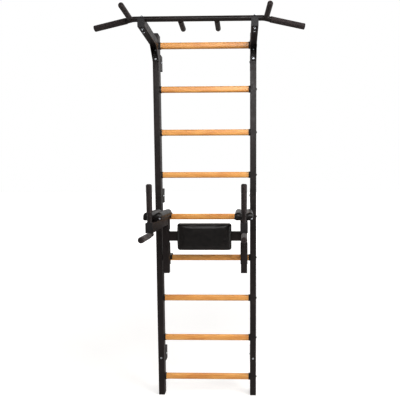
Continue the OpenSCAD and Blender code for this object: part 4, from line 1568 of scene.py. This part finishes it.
@dataclass
class DipStation:
    """The hang-on frame, its arms and its hand grips."""

    shop: Workshop
    tube_ease_mm: float = 0.7
    plate_ease_mm: float = 1.0
    plastic_ease_mm: float = 1.3
    liner_ease_mm: float = 0.5
    tube_corner_mm: float = 3.0
    ring_points: int = 36

    def build(self) -> None:
        """Builds every steel and foam piece of the dip station."""
        for side in ("left", "right"):
            self.shop.ease(f"{side}_dip_tube", Slot.COAT, Body.DIP_STATION, self.tube_ease_mm)
            self.shop.ease(f"{side}_dip_arm", Slot.COAT, Body.DIP_STATION, self.tube_ease_mm)
        for node in ("upper_hooks", "lower_hooks", "pad_brackets"):
            self.shop.ease(node, Slot.COAT, Body.DIP_STATION, self.plate_ease_mm)
        self.shop.ease("dip_cross_beam", Slot.COAT, Body.DIP_STATION, self.tube_ease_mm)
        self.shop.ease("hook_liners", Slot.PLASTIC, Body.DIP_STATION, self.liner_ease_mm)
        self.shop.ease("dip_tube_plugs", Slot.PLASTIC, Body.DIP_STATION, self.plastic_ease_mm)
        FastenerSet(self.shop, "dip_frame_bolts", Slot.COAT, Body.DIP_STATION)
        FastenerSet(self.shop, "upholstery_screws", Slot.ZINC, Body.DIP_STATION)
        self.grips()
        bead = WELD.lay("dip_welds", self.seams(), self.shop.finishes.by_slot[Slot.COAT])
        self.shop.fit(bead, Slot.COAT, Body.DIP_STATION)

    def grips(self) -> None:
        """The upright hand grips and the lower handles, with their bare tubes."""
        arm_low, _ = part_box("right_dip_arm")
        root = Vector((0, arm_low.y + 20 * MM, arm_low.z))
        for node in ("hand_grip_sleeves", "lower_handle_sleeves"):
            sleeves(self.shop, node, Body.DIP_STATION, root)
        mesh = bmesh.new()
        for solid in solids_of(self.shop.nodes["hand_grip_tubes"]):
            rod = rod_of(solid)
            rod = rod.starting_near(Vector((rod.start.x, root.y, root.z)))
            ease = 1 * MM
            outline = [(rod.radius - ease, 0.0), (rod.radius, ease), (rod.radius, rod.length - ease)]
            outline.append((rod.radius - ease, rod.length))
            turned(mesh, rod.frame(), outline, 40)
        piece = new_piece("hand_grip_tubes_bare", mesh)
        self.shop.fit(piece, Slot.COAT, Body.DIP_STATION, "hand_grip_tubes")

    def seams(self) -> list[list[Vector]]:
        """Every weld of the dip frame."""
        seams = []
        corner = self.tube_corner_mm * MM
        beam_low, beam_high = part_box("dip_cross_beam")
        for level in (beam_low.x + 0.6 * MM, beam_high.x - 0.6 * MM):
            seams.append(box_seam(beam_low, beam_high, 0, level, corner))
        for side in ("left", "right"):
            low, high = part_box(f"{side}_dip_arm")
            foot = Vector((low.x, low.y, self.arm_bottom(side)))
            seams.append(box_seam(foot, high, 1, high.y - 0.6 * MM, corner))
        for solid in solids_of(self.shop.nodes["hand_grip_tubes"]):
            rod = rod_of(solid)
            if solid.size.z > solid.size.y:
                seams.append(self.ring(rod, solid.low.z))
            else:
                seams += self.handle_sides(rod, solid)
        return seams

    def arm_bottom(self, side: str) -> float:
        """The height of an arm tube's underside, above its weld block."""
        _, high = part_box(f"{side}_dip_arm")
        points = self.shop.nodes[f"{side}_dip_arm"].data.vertices
        return min(v.co.z for v in points if v.co.y > high.y - 1 * MM)

    def ring(self, rod: Rod, level: float) -> list[Vector]:
        """The round line where an upright grip stands on its arm."""
        x, y, z = rod.start.x, rod.start.y, level + 0.5 * MM
        radius = rod.radius + 0.5 * MM
        angles = [2 * math.pi * i / self.ring_points for i in range(self.ring_points)]
        points = [Vector((x + radius * math.cos(a), y + radius * math.sin(a), z)) for a in angles]
        return [*points, points[0]]

    def handle_sides(self, rod: Rod, solid: Solid) -> list[list[Vector]]:
        """The lines along a lower handle where it is welded under its arm's block."""
        low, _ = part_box("right_dip_arm")
        reach = 0.707 * rod.radius
        front = low.y + 16 * MM
        lines = []
        for sign in (-1, 1):
            x = solid.centre.x + sign * (reach + 0.4 * MM)
            z = solid.centre.z + reach
            lines.append([Vector((x, front, z)), Vector((x, front + 32 * MM, z))])
        return lines


# ---------------------------------------------------------------- upholstery


@dataclass
class Stuffing:
    """How a sewn cover is blown up over its foam by a cloth simulation."""

    voxel_mm: float = 5.0
    pressure: float = 4.0
    frames: int = 20
    cap_mm: float = 6.0
    sink_mm: float = 0.6

    def swell(self, piece: bpy.types.Object, hold: Callable[[Vector], float]) -> bpy.types.Object:
        """Remeshes a closed form evenly and lets it swell, but for what is held.

        Args:
            piece: The closed form, a little smaller than the pad. It is removed.
            hold: For a point, how firmly it is held, from 0 to 1.

        Returns:
            The swollen piece, without a modifier.
        """
        name = piece.name
        evened = piece.modifiers.new("even", "REMESH")
        evened.mode = "VOXEL"
        evened.voxel_size = self.voxel_mm * MM
        evened.use_smooth_shade = True
        cover = self.settled(piece, name)
        start = [v.co.copy() for v in cover.data.vertices]
        outward = [v.normal.copy() for v in cover.data.vertices]
        held = cover.vertex_groups.new(name="held")
        for i, point in enumerate(start):
            firmness = hold(point)
            if firmness > 0:
                held.add([i], firmness, "REPLACE")
        cloth = cover.modifiers.new("cover", "CLOTH")
        cloth.settings.use_pressure = True
        cloth.settings.uniform_pressure_force = self.pressure
        cloth.settings.effector_weights.gravity = 0
        cloth.settings.vertex_group_mass = "held"
        cloth.settings.tension_stiffness = 25
        cloth.settings.compression_stiffness = 25
        cloth.settings.bending_stiffness = 6.0
        cloth.point_cache.frame_start = 1
        cloth.point_cache.frame_end = self.frames
        scene = bpy.context.scene
        for frame in range(1, self.frames + 1):
            scene.frame_set(frame)
        swollen = self.settled(cover, name)
        scene.frame_set(1)
        for vertex, origin, normal in zip(swollen.data.vertices, start, outward):
            rise = (vertex.co - origin).dot(normal)
            vertex.co = origin + normal * min(max(rise, -self.sink_mm * MM), self.cap_mm * MM)
        return swollen

    def settled(self, piece: bpy.types.Object, name: str) -> bpy.types.Object:
        """The piece with its modifiers applied, as a new object. The old one is removed."""
        bpy.context.view_layer.update()
        evaluated = piece.evaluated_get(bpy.context.evaluated_depsgraph_get())
        data = bpy.data.meshes.new_from_object(evaluated)
        bpy.data.objects.remove(piece)
        mesh = bmesh.new()
        mesh.from_mesh(data)
        return new_piece(name, mesh, 180.0)


def smoother(piece: bpy.types.Object) -> None:
    """Adds one level of subdivision."""
    finer = piece.modifiers.new("smooth", "SUBSURF")
    finer.levels = 1
    finer.render_levels = 1


def board_skirt(name: str, low: Vector, high: Vector, axis: int, corner_mm: float = 12.0) -> bpy.types.Object:
    """The cover's edge, pulled round the rim of a board.

    Args:
        name: The new piece's name.
        low: The board's lowest corner.
        high: Its highest corner.
        axis: The direction of its thickness.
        corner_mm: The radius of its corners.

    Returns:
        The band of cover.
    """
    first, second = [i for i in range(3) if i != axis]
    middle, size = (low + high) / 2, high - low
    mesh = bmesh.new()
    thick = 1.1 * MM
    corner = corner_mm * MM
    rings = []
    for proud, level in (
        (thick * 0.4, low[axis] - 0.5 * MM),
        (thick, low[axis] + 0.6 * MM),
        (thick, high[axis] - 0.4 * MM),
        (thick * 0.4, high[axis] + 0.5 * MM),
        (-0.4 * MM, high[axis] + 0.5 * MM),
        (-0.4 * MM, low[axis] - 0.5 * MM),
    ):
        ring = []
        for a, b in rounded_section(size[first] + 2 * proud, size[second] + 2 * proud, corner + proud, 8):
            point = middle.copy()
            point[first] += a
            point[second] += b
            point[axis] = level
            ring.append(point)
        rings.append(ring)
    loft(mesh, [*rings, rings[0]], close_ends=False)
    bmesh.ops.remove_doubles(mesh, verts=mesh.verts, dist=0.01 * MM)
    recalculated(mesh)
    return new_piece(name, mesh)


@dataclass
class BackCushion:
    """The backrest: foam in a sewn cover, on a plywood board."""

    shop: Workshop
    side_ease_mm: float = 24.0
    end_ease_mm: float = 11.0
    corner_mm: float = 15.0
    crown_mm: float = 4.0
    shrink_mm: float = 0.6
    hem_mm: float = 17.0
    hem_lift_mm: float = 0.9
    staple_pitch_mm: float = 24.0
    columns: int = 60

    def build(self) -> None:
        """Builds the cushion, its board, and the hem stapled behind the board."""
        low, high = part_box("backrest_cushion")
        cushion = Stuffing(cap_mm=5.0).swell(self.form(low, high), self.hold(high.y))
        cushion.name = "backrest_cushion_sewn"
        smoother(cushion)
        self.shop.fit(cushion, Slot.LEATHER, Body.DIP_STATION, "backrest_cushion")
        self.shop.ease("backrest_board", Slot.PLYWOOD, Body.DIP_STATION, 1.5)
        self.piping(low, high)
        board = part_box("backrest_board")
        skirt = board_skirt("backrest_skirt", *board, 1, self.corner_mm)
        self.shop.fit(skirt, Slot.LEATHER, Body.DIP_STATION)
        self.hem(*board)

    def hold(self, back: float) -> Callable[[Vector], float]:
        """The back face is glued to the board."""
        return lambda point: 1.0 if point.y > back - 4 * MM else 0.0

    def outline(self, width: float, height: float) -> list[tuple[float, float]]:
        """The cushion's face outline, with round corners."""
        return rounded_section(width, height, self.corner_mm * MM, 10)

    def form(self, low: Vector, high: Vector) -> bpy.types.Object:
        """The cushion before it swells: rings from its flat back to its crowned front."""
        middle, size = (low + high) / 2, high - low
        shrink, depth = self.shrink_mm * MM, size.y
        side, end = self.side_ease_mm * MM, self.end_ease_mm * MM
        mesh = bmesh.new()
        rings = []
        steps = 12
        profile = [(0.0, 0.0), (0.0, 0.45)]
        turns = [math.pi / 2 * i / steps for i in range(1, steps + 1)]
        profile += [(1 - math.cos(turn), 0.45 + 0.5 * math.sin(turn)) for turn in turns]
        for inward, forward in profile:
            ring = []
            width = size.x / 2 - shrink - side * inward
            height = size.z / 2 - shrink - end * inward
            for a, b in self.outline(size.x, size.z):
                ring.append(
                    Vector(
                        (
                            middle.x + a / (size.x / 2) * width,
                            high.y - forward * (depth - shrink),
                            middle.z + b / (size.z / 2) * height,
                        )
                    )
                )
            rings.append(ring)
        crown = self.crown_mm * MM
        for share in (0.82, 0.6, 0.36, 0.14):
            ring = []
            for point in rings[-1 if share == 0.82 else len(profile) - 1]:
                off = point - middle
                rise = crown * (1 - share**2) * 0.4
                ring.append(Vector((middle.x + off.x * share, point.y - rise, middle.z + off.z * share)))
            rings.append(ring)
        loft(mesh, rings)
        return new_piece("backrest_cushion_sewn", mesh, 180.0)

    def piping(self, low: Vector, high: Vector) -> None:
        """A thin welt sewn round the cushion where its side meets the back."""
        middle, size = (low + high) / 2, high - low
        inset = self.shrink_mm * MM
        line = [
            Vector((middle.x + a, high.y - 7 * MM, middle.z + b))
            for a, b in self.outline(size.x - 1.7 * inset, size.z - 1.7 * inset)
        ]
        leather = self.shop.finishes.by_slot[Slot.LEATHER]
        piece = WELT.lay("backrest_welt", [[*line, line[0]]], leather)
        self.shop.fit(piece, Slot.LEATHER, Body.DIP_STATION)

    def hem(self, low: Vector, high: Vector) -> None:
        """The cover's hem folded behind the board's top and bottom edges, and its staples."""
        mesh = bmesh.new()
        back, lift, deep = high.y, self.hem_lift_mm * MM, self.hem_mm * MM
        marks = []
        for edge, sign in ((low.z, 1), (high.z, -1)):
            across = [0.0, 0.25, 0.5, 0.75, 1.0]
            count = self.columns
            rings = []
            for i in range(count + 1):
                x = low.x + 4 * MM + (high.x - low.x - 8 * MM) * i / count
                wave = 1.2 * MM * math.sin(i * 2.1) + 0.7 * MM * math.sin(i * 0.9)
                tuck = lift * (1 + 0.35 * math.sin(i * 1.7))
                inner = edge + sign * (deep + wave)
                fold = [(back + tuck * (0.4 + 0.6 * math.sin(math.pi * s)), s) for s in across]
                skin = [Vector((x, y, edge + (inner - edge) * s)) for y, s in fold]
                under = [Vector((x, back - 0.3 * MM, edge + (inner - edge) * s)) for s in reversed(across)]
                rings.append(skin + under if sign > 0 else list(reversed(skin + under)))
            loft(mesh, rings)
            steps = int((high.x - low.x - 30 * MM) / (self.staple_pitch_mm * MM))
            for i in range(steps + 1):
                x = low.x + 15 * MM + i * self.staple_pitch_mm * MM
                tilt = Matrix.Rotation(0.25 * math.sin(i * 1.3), 3, "Y")
                marks.append(Mark(Vector((x, back + lift * 1.15, edge + sign * deep * 0.55)), tilt))
        recalculated(mesh)
        self.shop.fit(new_piece("backrest_hem", mesh), Slot.LEATHER, Body.DIP_STATION)
        zinc = self.shop.finishes.by_slot[Slot.ZINC]
        staples = stamped("backrest_staples", marks, {"Staple": self.staple()}, zinc)
        self.shop.fit(staples, Slot.ZINC, Body.DIP_STATION)

    def staple(self) -> bpy.types.Object:
        """The crown of one staple, bent into the board at both ends."""
        mesh = bmesh.new()
        half, bend, radius = 5.0 * MM, 0.5 * MM, 0.45 * MM
        path = [(-half, -1.2), (-half, -0.2), (-half + bend, 0.25)]
        path += [(-x, lift) for x, lift in reversed(path)]
        angles = [math.pi / 3 * k for k in range(6)]
        rings = [
            [Vector((x, lift * MM + radius * math.cos(a), radius * math.sin(a))) for a in angles]
            for x, lift in path
        ]
        loft(mesh, rings)
        recalculated(mesh)
        return new_piece("staple", mesh)


def recalculated(mesh: bmesh.types.BMesh) -> None:
    """Turns every face of closed shells outwards."""
    bmesh.ops.recalc_face_normals(mesh, faces=mesh.faces)


@dataclass
class ArmPad:
    """One forearm pad: two long crowns of foam with a sewn valley between them, on a board."""

    shop: Workshop
    side: str
    shrink_mm: float = 2.0
    valley_mm: float = 15.0
    end_ease_mm: float = 15.0
    ridge_mm: float = 19.0
    stitch_pitch_mm: float = 6.0
    board_corner_mm: float = 8.0
    rings: int = 40

    def build(self) -> None:
        """Builds the pad and the stitching in its valley."""
        node = f"{self.side}_arm_pad"
        low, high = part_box(node)
        self.middle, self.size = (low + high) / 2, high - low
        self.floor = low.z
        pad = Stuffing(cap_mm=5.0).swell(self.form(), self.hold)
        pad.name = f"{node}_sewn"
        smoother(pad)
        self.shop.fit(pad, Slot.LEATHER, Body.DIP_STATION, node)
        self.stitching(pad)
        self.welt(low, high)
        self.skirt()

    def hold(self, point: Vector) -> float:
        """The underside is glued down, and the valley is sewn."""
        if point.z < self.floor + 5 * MM:
            return 1.0
        across = abs(point.x - self.middle.x)
        if abs(point.y - self.middle.y) > self.size.y / 2 - 18 * MM:
            return 0.0
        return max(0.0, 1.0 - across / (8 * MM))

    def height_at(self, share: float) -> float:
        """The top's height above the floor for a place across the pad, from -1 to 1."""
        full = self.size.z - self.shrink_mm * MM
        across = abs(share) * self.size.x / 2
        ridge_at = self.size.x / 2 - self.ridge_mm * MM
        if across >= ridge_at:
            reach = (across - ridge_at) / (self.ridge_mm * MM)
            edge = full - self.ridge_mm * MM
            return edge + self.ridge_mm * MM * math.sqrt(max(0.0, 1 - min(reach, 1.0) ** 2))
        dip = (1 + math.cos(math.pi * across / ridge_at)) / 2
        return full - self.valley_mm * MM * dip**1.6

    def section(self, squeeze: float, inset: float) -> list[tuple[float, float]]:
        """The closed outline across the pad.

        Args:
            squeeze: How much of the height above the floor is left.
            inset: How far the sides are drawn in.

        Returns:
            Pairs of X and Z from the pad's middle and floor.
        """
        half = self.size.x / 2 - self.shrink_mm * MM - inset
        points = [(-half, 0.0), (-half, 0.5 * (self.size.z - self.ridge_mm * MM) * squeeze)]
        steps = 44
        for i in range(steps + 1):
            share = -math.cos(math.pi * i / steps)
            points.append((share * half, self.height_at(share) * squeeze))
        points += [(half, 0.5 * (self.size.z - self.ridge_mm * MM) * squeeze), (half, 0.0)]
        under = 10
        points += [(half - 2 * half * i / under, 0.0) for i in range(1, under)]
        return points

    def form(self) -> bpy.types.Object:
        """The pad before it swells, lofted from its front end to its back end."""
        mesh = bmesh.new()
        half = self.size.y / 2 - self.shrink_mm * MM
        ease = self.end_ease_mm * MM
        rings = []
        places = [(-half + ease * (1 - math.cos(math.pi / 2 * i / 8)), i / 8) for i in range(9)]
        ring_ys = [(y, math.sin(math.pi / 2 * t)) for y, t in places]
        run = 2 * half - 2 * ease
        ring_ys += [(-half + ease + run * i / self.rings, 1.0) for i in range(1, self.rings)]
        ring_ys += [(-y, full) for y, full in reversed(ring_ys[:9])]
        for y, full in ring_ys:
            squeeze = 0.45 + 0.55 * full
            inset = ease * 0.5 * (1 - full)
            outline = self.section(squeeze, inset)
            x0, y0 = self.middle.x, self.middle.y + y
            rings.append([Vector((x0 + a, y0, self.floor + b)) for a, b in outline])
        loft(mesh, rings)
        recalculated(mesh)
        return new_piece(f"{self.side}_arm_pad_sewn", mesh, 180.0)

    def surface(self, pad: bpy.types.Object) -> Callable[[float, float], float]:
        """The pad's own top surface, for laying the seam on it."""
        bpy.context.view_layer.update()
        graph = bpy.context.evaluated_depsgraph_get()
        shape = BVHTree.FromObject(pad, graph)

        def top(x: float, y: float) -> float:
            """The height of the surface at a place."""
            found = shape.ray_cast(Vector((x, y, self.floor + 1.0)), Vector((0, 0, -1)))
            return found[0].z

        return top

    def stitching(self, pad: bpy.types.Object) -> None:
        """Two rows of thread in the valley, stamped one stitch at a time."""
        top = self.surface(pad)
        half = self.size.y / 2 - 16 * MM
        marks = []
        count = int(2 * half / (self.stitch_pitch_mm * MM))
        for row in (-1, 1):
            x = self.middle.x + row * 3.2 * MM
            for i in range(count + 1):
                y = self.middle.y - half + i * self.stitch_pitch_mm * MM
                rise = top(x, y + 1 * MM) - top(x, y - 1 * MM)
                tilt = Matrix.Rotation(math.atan2(rise, 2 * MM), 3, "X")
                marks.append(Mark(Vector((x, y, top(x, y) + 0.1 * MM)), tilt))
        piece = stamped(
            f"{self.side}_arm_pad_stitches",
            marks,
            {"Stitch": self.stitch()},
            self.shop.finishes.by_slot[Slot.LEATHER],
            180.0,
        )
        self.shop.fit(piece, Slot.LEATHER, Body.DIP_STATION)

    def stitch(self) -> bpy.types.Object:
        """One stitch: a short thread that dives into the cover at both ends."""
        mesh = bmesh.new()
        length, radius = self.stitch_pitch_mm * 0.72 * MM, 0.55 * MM
        rings = []
        for i in range(5):
            t = i / 4
            size = radius * (0.55 + 0.45 * math.sin(math.pi * t))
            lift = 0.5 * MM * math.sin(math.pi * t) - 0.35 * MM
            y = (t - 0.5) * length
            angles = [math.pi / 3 * k for k in range(6)]
            rings.append([Vector((size * math.cos(a), y, lift + size * math.sin(a))) for a in angles])
        loft(mesh, rings)
        recalculated(mesh)
        return new_piece("stitch", mesh)

    def skirt(self) -> None:
        """The cover's edge round the pad's own board."""
        board = min(
            solids_of(self.shop.nodes["pad_boards"]), key=lambda solid: abs(solid.centre.x - self.middle.x)
        )
        band = board_skirt(f"{self.side}_arm_pad_skirt", board.low, board.high, 2, self.board_corner_mm)
        self.shop.fit(band, Slot.LEATHER, Body.DIP_STATION)

    def welt(self, low: Vector, high: Vector) -> None:
        """A thin welt round the foot of the pad, where the cover tucks under."""
        inset = self.shrink_mm * 0.6 * MM
        size = high - low
        line = [
            Vector((self.middle.x + a, self.middle.y + b, low.z + 4.5 * MM))
            for a, b in rounded_section(size.x - 2 * inset, size.y - 2 * inset, 9 * MM, 8)
        ]
        leather = self.shop.finishes.by_slot[Slot.LEATHER]
        piece = WELT.lay(f"{self.side}_arm_pad_welt", [[*line, line[0]]], leather)
        self.shop.fit(piece, Slot.LEATHER, Body.DIP_STATION)


# ---------------------------------------------------------------- the studio


@dataclass
class Studio:
    """The camera, the soft lights, the pale surroundings and the floor."""

    camera_at: tuple[float, float, float] = (0.25256, -2.92555, 1.46403)
    yaw: float = 0.02163
    pitch: float = 0.08821
    roll: float = -0.00288
    lens_mm: float = 38.093
    shift: tuple[float, float] = (-0.0866, 0.0486)
    floor_colour: str = "#c4c2c0"
    floor_half: float = 60.0
    floor_glow: float = 0.52
    backdrop: float = 1.0
    fill: float = 0.1
    wall: float = 0.9
    gamma: float = 0.82

    def build(self) -> None:
        """Sets up everything that isn't part of the object."""
        self.camera()
        self.lights()
        self.world()
        self.floor()
        view = bpy.context.scene.view_settings
        view.view_transform = "Standard"
        view.look = "None"
        view.gamma = self.gamma

    def camera(self) -> None:
        """A long-side camera a little to the right of the ladder."""
        data = bpy.data.cameras.new("camera")
        data.sensor_width = 36
        data.lens = self.lens_mm
        data.shift_x, data.shift_y = self.shift
        data.clip_start, data.clip_end = 0.05, 60
        cy, sy, cp, sp = math.cos(self.yaw), math.sin(self.yaw), math.cos(self.pitch), math.sin(self.pitch)
        right = Vector((cy, sy, 0))
        ahead = Vector((-sy * cp, cy * cp, -sp))
        up = Vector((-sy * sp, cy * sp, cp))
        cr, sr = math.cos(self.roll), math.sin(self.roll)
        level, tall = right * cr + up * sr, up * cr - right * sr
        turn = Matrix((level, tall, -ahead)).transposed().to_4x4()
        camera = bpy.data.objects.new("camera", data)
        camera.matrix_world = Matrix.Translation(self.camera_at) @ turn
        bpy.context.scene.collection.objects.link(camera)
        bpy.context.scene.camera = camera

    def lights(self) -> None:
        """A large key high on the right, and a weaker one low on the left."""
        self.softbox("key", (3.4, -2.6, 3.6), (0.0, -0.2, 1.2), (2.2, 2.2), 145.0)
        self.softbox("front", (0.4, -4.6, 3.4), (0.0, -0.2, 1.1), (2.6, 1.8), 130.0)
        self.softbox("right", (3.8, -0.7, 1.9), (0.0, -0.3, 1.2), (1.2, 2.4), 60.0)
        self.softbox("left", (-3.8, -0.8, 1.9), (0.0, -0.3, 1.2), (1.2, 2.4), 45.0)

    def softbox(
        self,
        name: str,
        place: tuple[float, float, float],
        aim: tuple[float, float, float],
        size: tuple[float, float],
        power: float,
    ) -> None:
        """Adds one rectangular area light.

        Args:
            name: The light's name.
            place: Where it hangs.
            aim: The point that it faces.
            size: Its two sides.
            power: Its power in watts.
        """
        data = bpy.data.lights.new(name, "AREA")
        data.shape = "RECTANGLE"
        data.size, data.size_y = size
        data.energy = power
        light = bpy.data.objects.new(name, data)
        light.location = place
        light.rotation_euler = (Vector(aim) - Vector(place)).to_track_quat("-Z", "Y").to_euler()
        bpy.context.scene.collection.objects.link(light)

    def world(self) -> None:
        """White to look at, and for what the object reflects a bright wall behind and dimness in front."""
        world = bpy.data.worlds.new("studio")
        bpy.context.scene.world = world
        world.use_nodes = True
        tree = world.node_tree
        tree.nodes.clear()
        way = add_node(tree, "ShaderNodeTexCoord")
        parts = add_node(tree, "ShaderNodeSeparateXYZ", {"Vector": way.outputs["Generated"]})
        bounds = {"From Min": -0.1, "From Max": 0.6, "To Min": self.fill, "To Max": self.wall}
        around = add_node(tree, "ShaderNodeMapRange", {"Value": parts.outputs["Y"], **bounds})
        white = (1.0, 1.0, 1.0, 1.0)
        seen = add_node(tree, "ShaderNodeBackground", {"Color": white, "Strength": self.backdrop})
        glow = around.outputs["Result"]
        lit = add_node(tree, "ShaderNodeBackground", {"Color": white, "Strength": glow})
        path = add_node(tree, "ShaderNodeLightPath")
        mixed = add_node(
            tree,
            "ShaderNodeMixShader",
            {
                "Fac": path.outputs["Is Camera Ray"],
                1: lit.outputs["Background"],
                2: seen.outputs["Background"],
            },
        )
        add_node(tree, "ShaderNodeOutputWorld", {"Surface": mixed.outputs["Shader"]})

    def floor(self) -> None:
        """A wide pale floor under the feet, with a painted glow that only the camera sees: weaker near the
        feet and full far away, so that the floor fades into the backdrop.
        """
        mesh = bmesh.new()
        half = self.floor_half
        corners = [(-half, -half), (half, -half), (half, half), (-half, half)]
        mesh.faces.new([mesh.verts.new((x, y, -0.0005)) for x, y in corners])
        floor = new_piece("floor", mesh)
        material = bpy.data.materials.new("painted_floor")
        material.use_nodes = True
        tree = material.node_tree
        surface = tree.nodes["Principled BSDF"]
        surface.inputs["Base Color"].default_value = srgb(self.floor_colour)
        surface.inputs["Roughness"].default_value = 0.8
        surface.inputs["Emission Color"].default_value = (1.0, 1.0, 1.0, 1.0)
        place = add_node(tree, "ShaderNodeTexCoord")
        # painted glow: emission seen only by camera rays, rising with the distance from the origin so that
        # the far floor shows white
        away = add_node(tree, "ShaderNodeVectorMath", {0: place.outputs["Object"]}, operation="LENGTH")
        bounds = {"From Min": 1.2, "From Max": 7.0, "To Min": self.floor_glow, "To Max": 1.0}
        glow = add_node(tree, "ShaderNodeMapRange", {"Value": away.outputs["Value"], **bounds})
        path = add_node(tree, "ShaderNodeLightPath")
        seen = add_node(
            tree,
            "ShaderNodeMath",
            {0: glow.outputs["Result"], 1: path.outputs["Is Camera Ray"]},
            operation="MULTIPLY",
        )
        tree.links.new(seen.outputs["Value"], surface.inputs["Emission Strength"])
        floor.data.materials.append(material)


def main() -> None:
    """Builds the object and the studio."""
    logging.basicConfig(level=logging.INFO, format="%(message)s")
    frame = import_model()
    Studio().build()
    shop = Workshop(frame, Finishes())
    Ladder(shop).build()
    PullUpBar(shop).build()
    DipStation(shop).build()
    BackCushion(shop).build()
    shop.ease("pad_boards", Slot.PLYWOOD, Body.DIP_STATION, 1.2)
    for side in ("left", "right"):
        ArmPad(shop, side).build()
    bpy.context.view_layer.update()


if __name__ == "__main__":
    main()
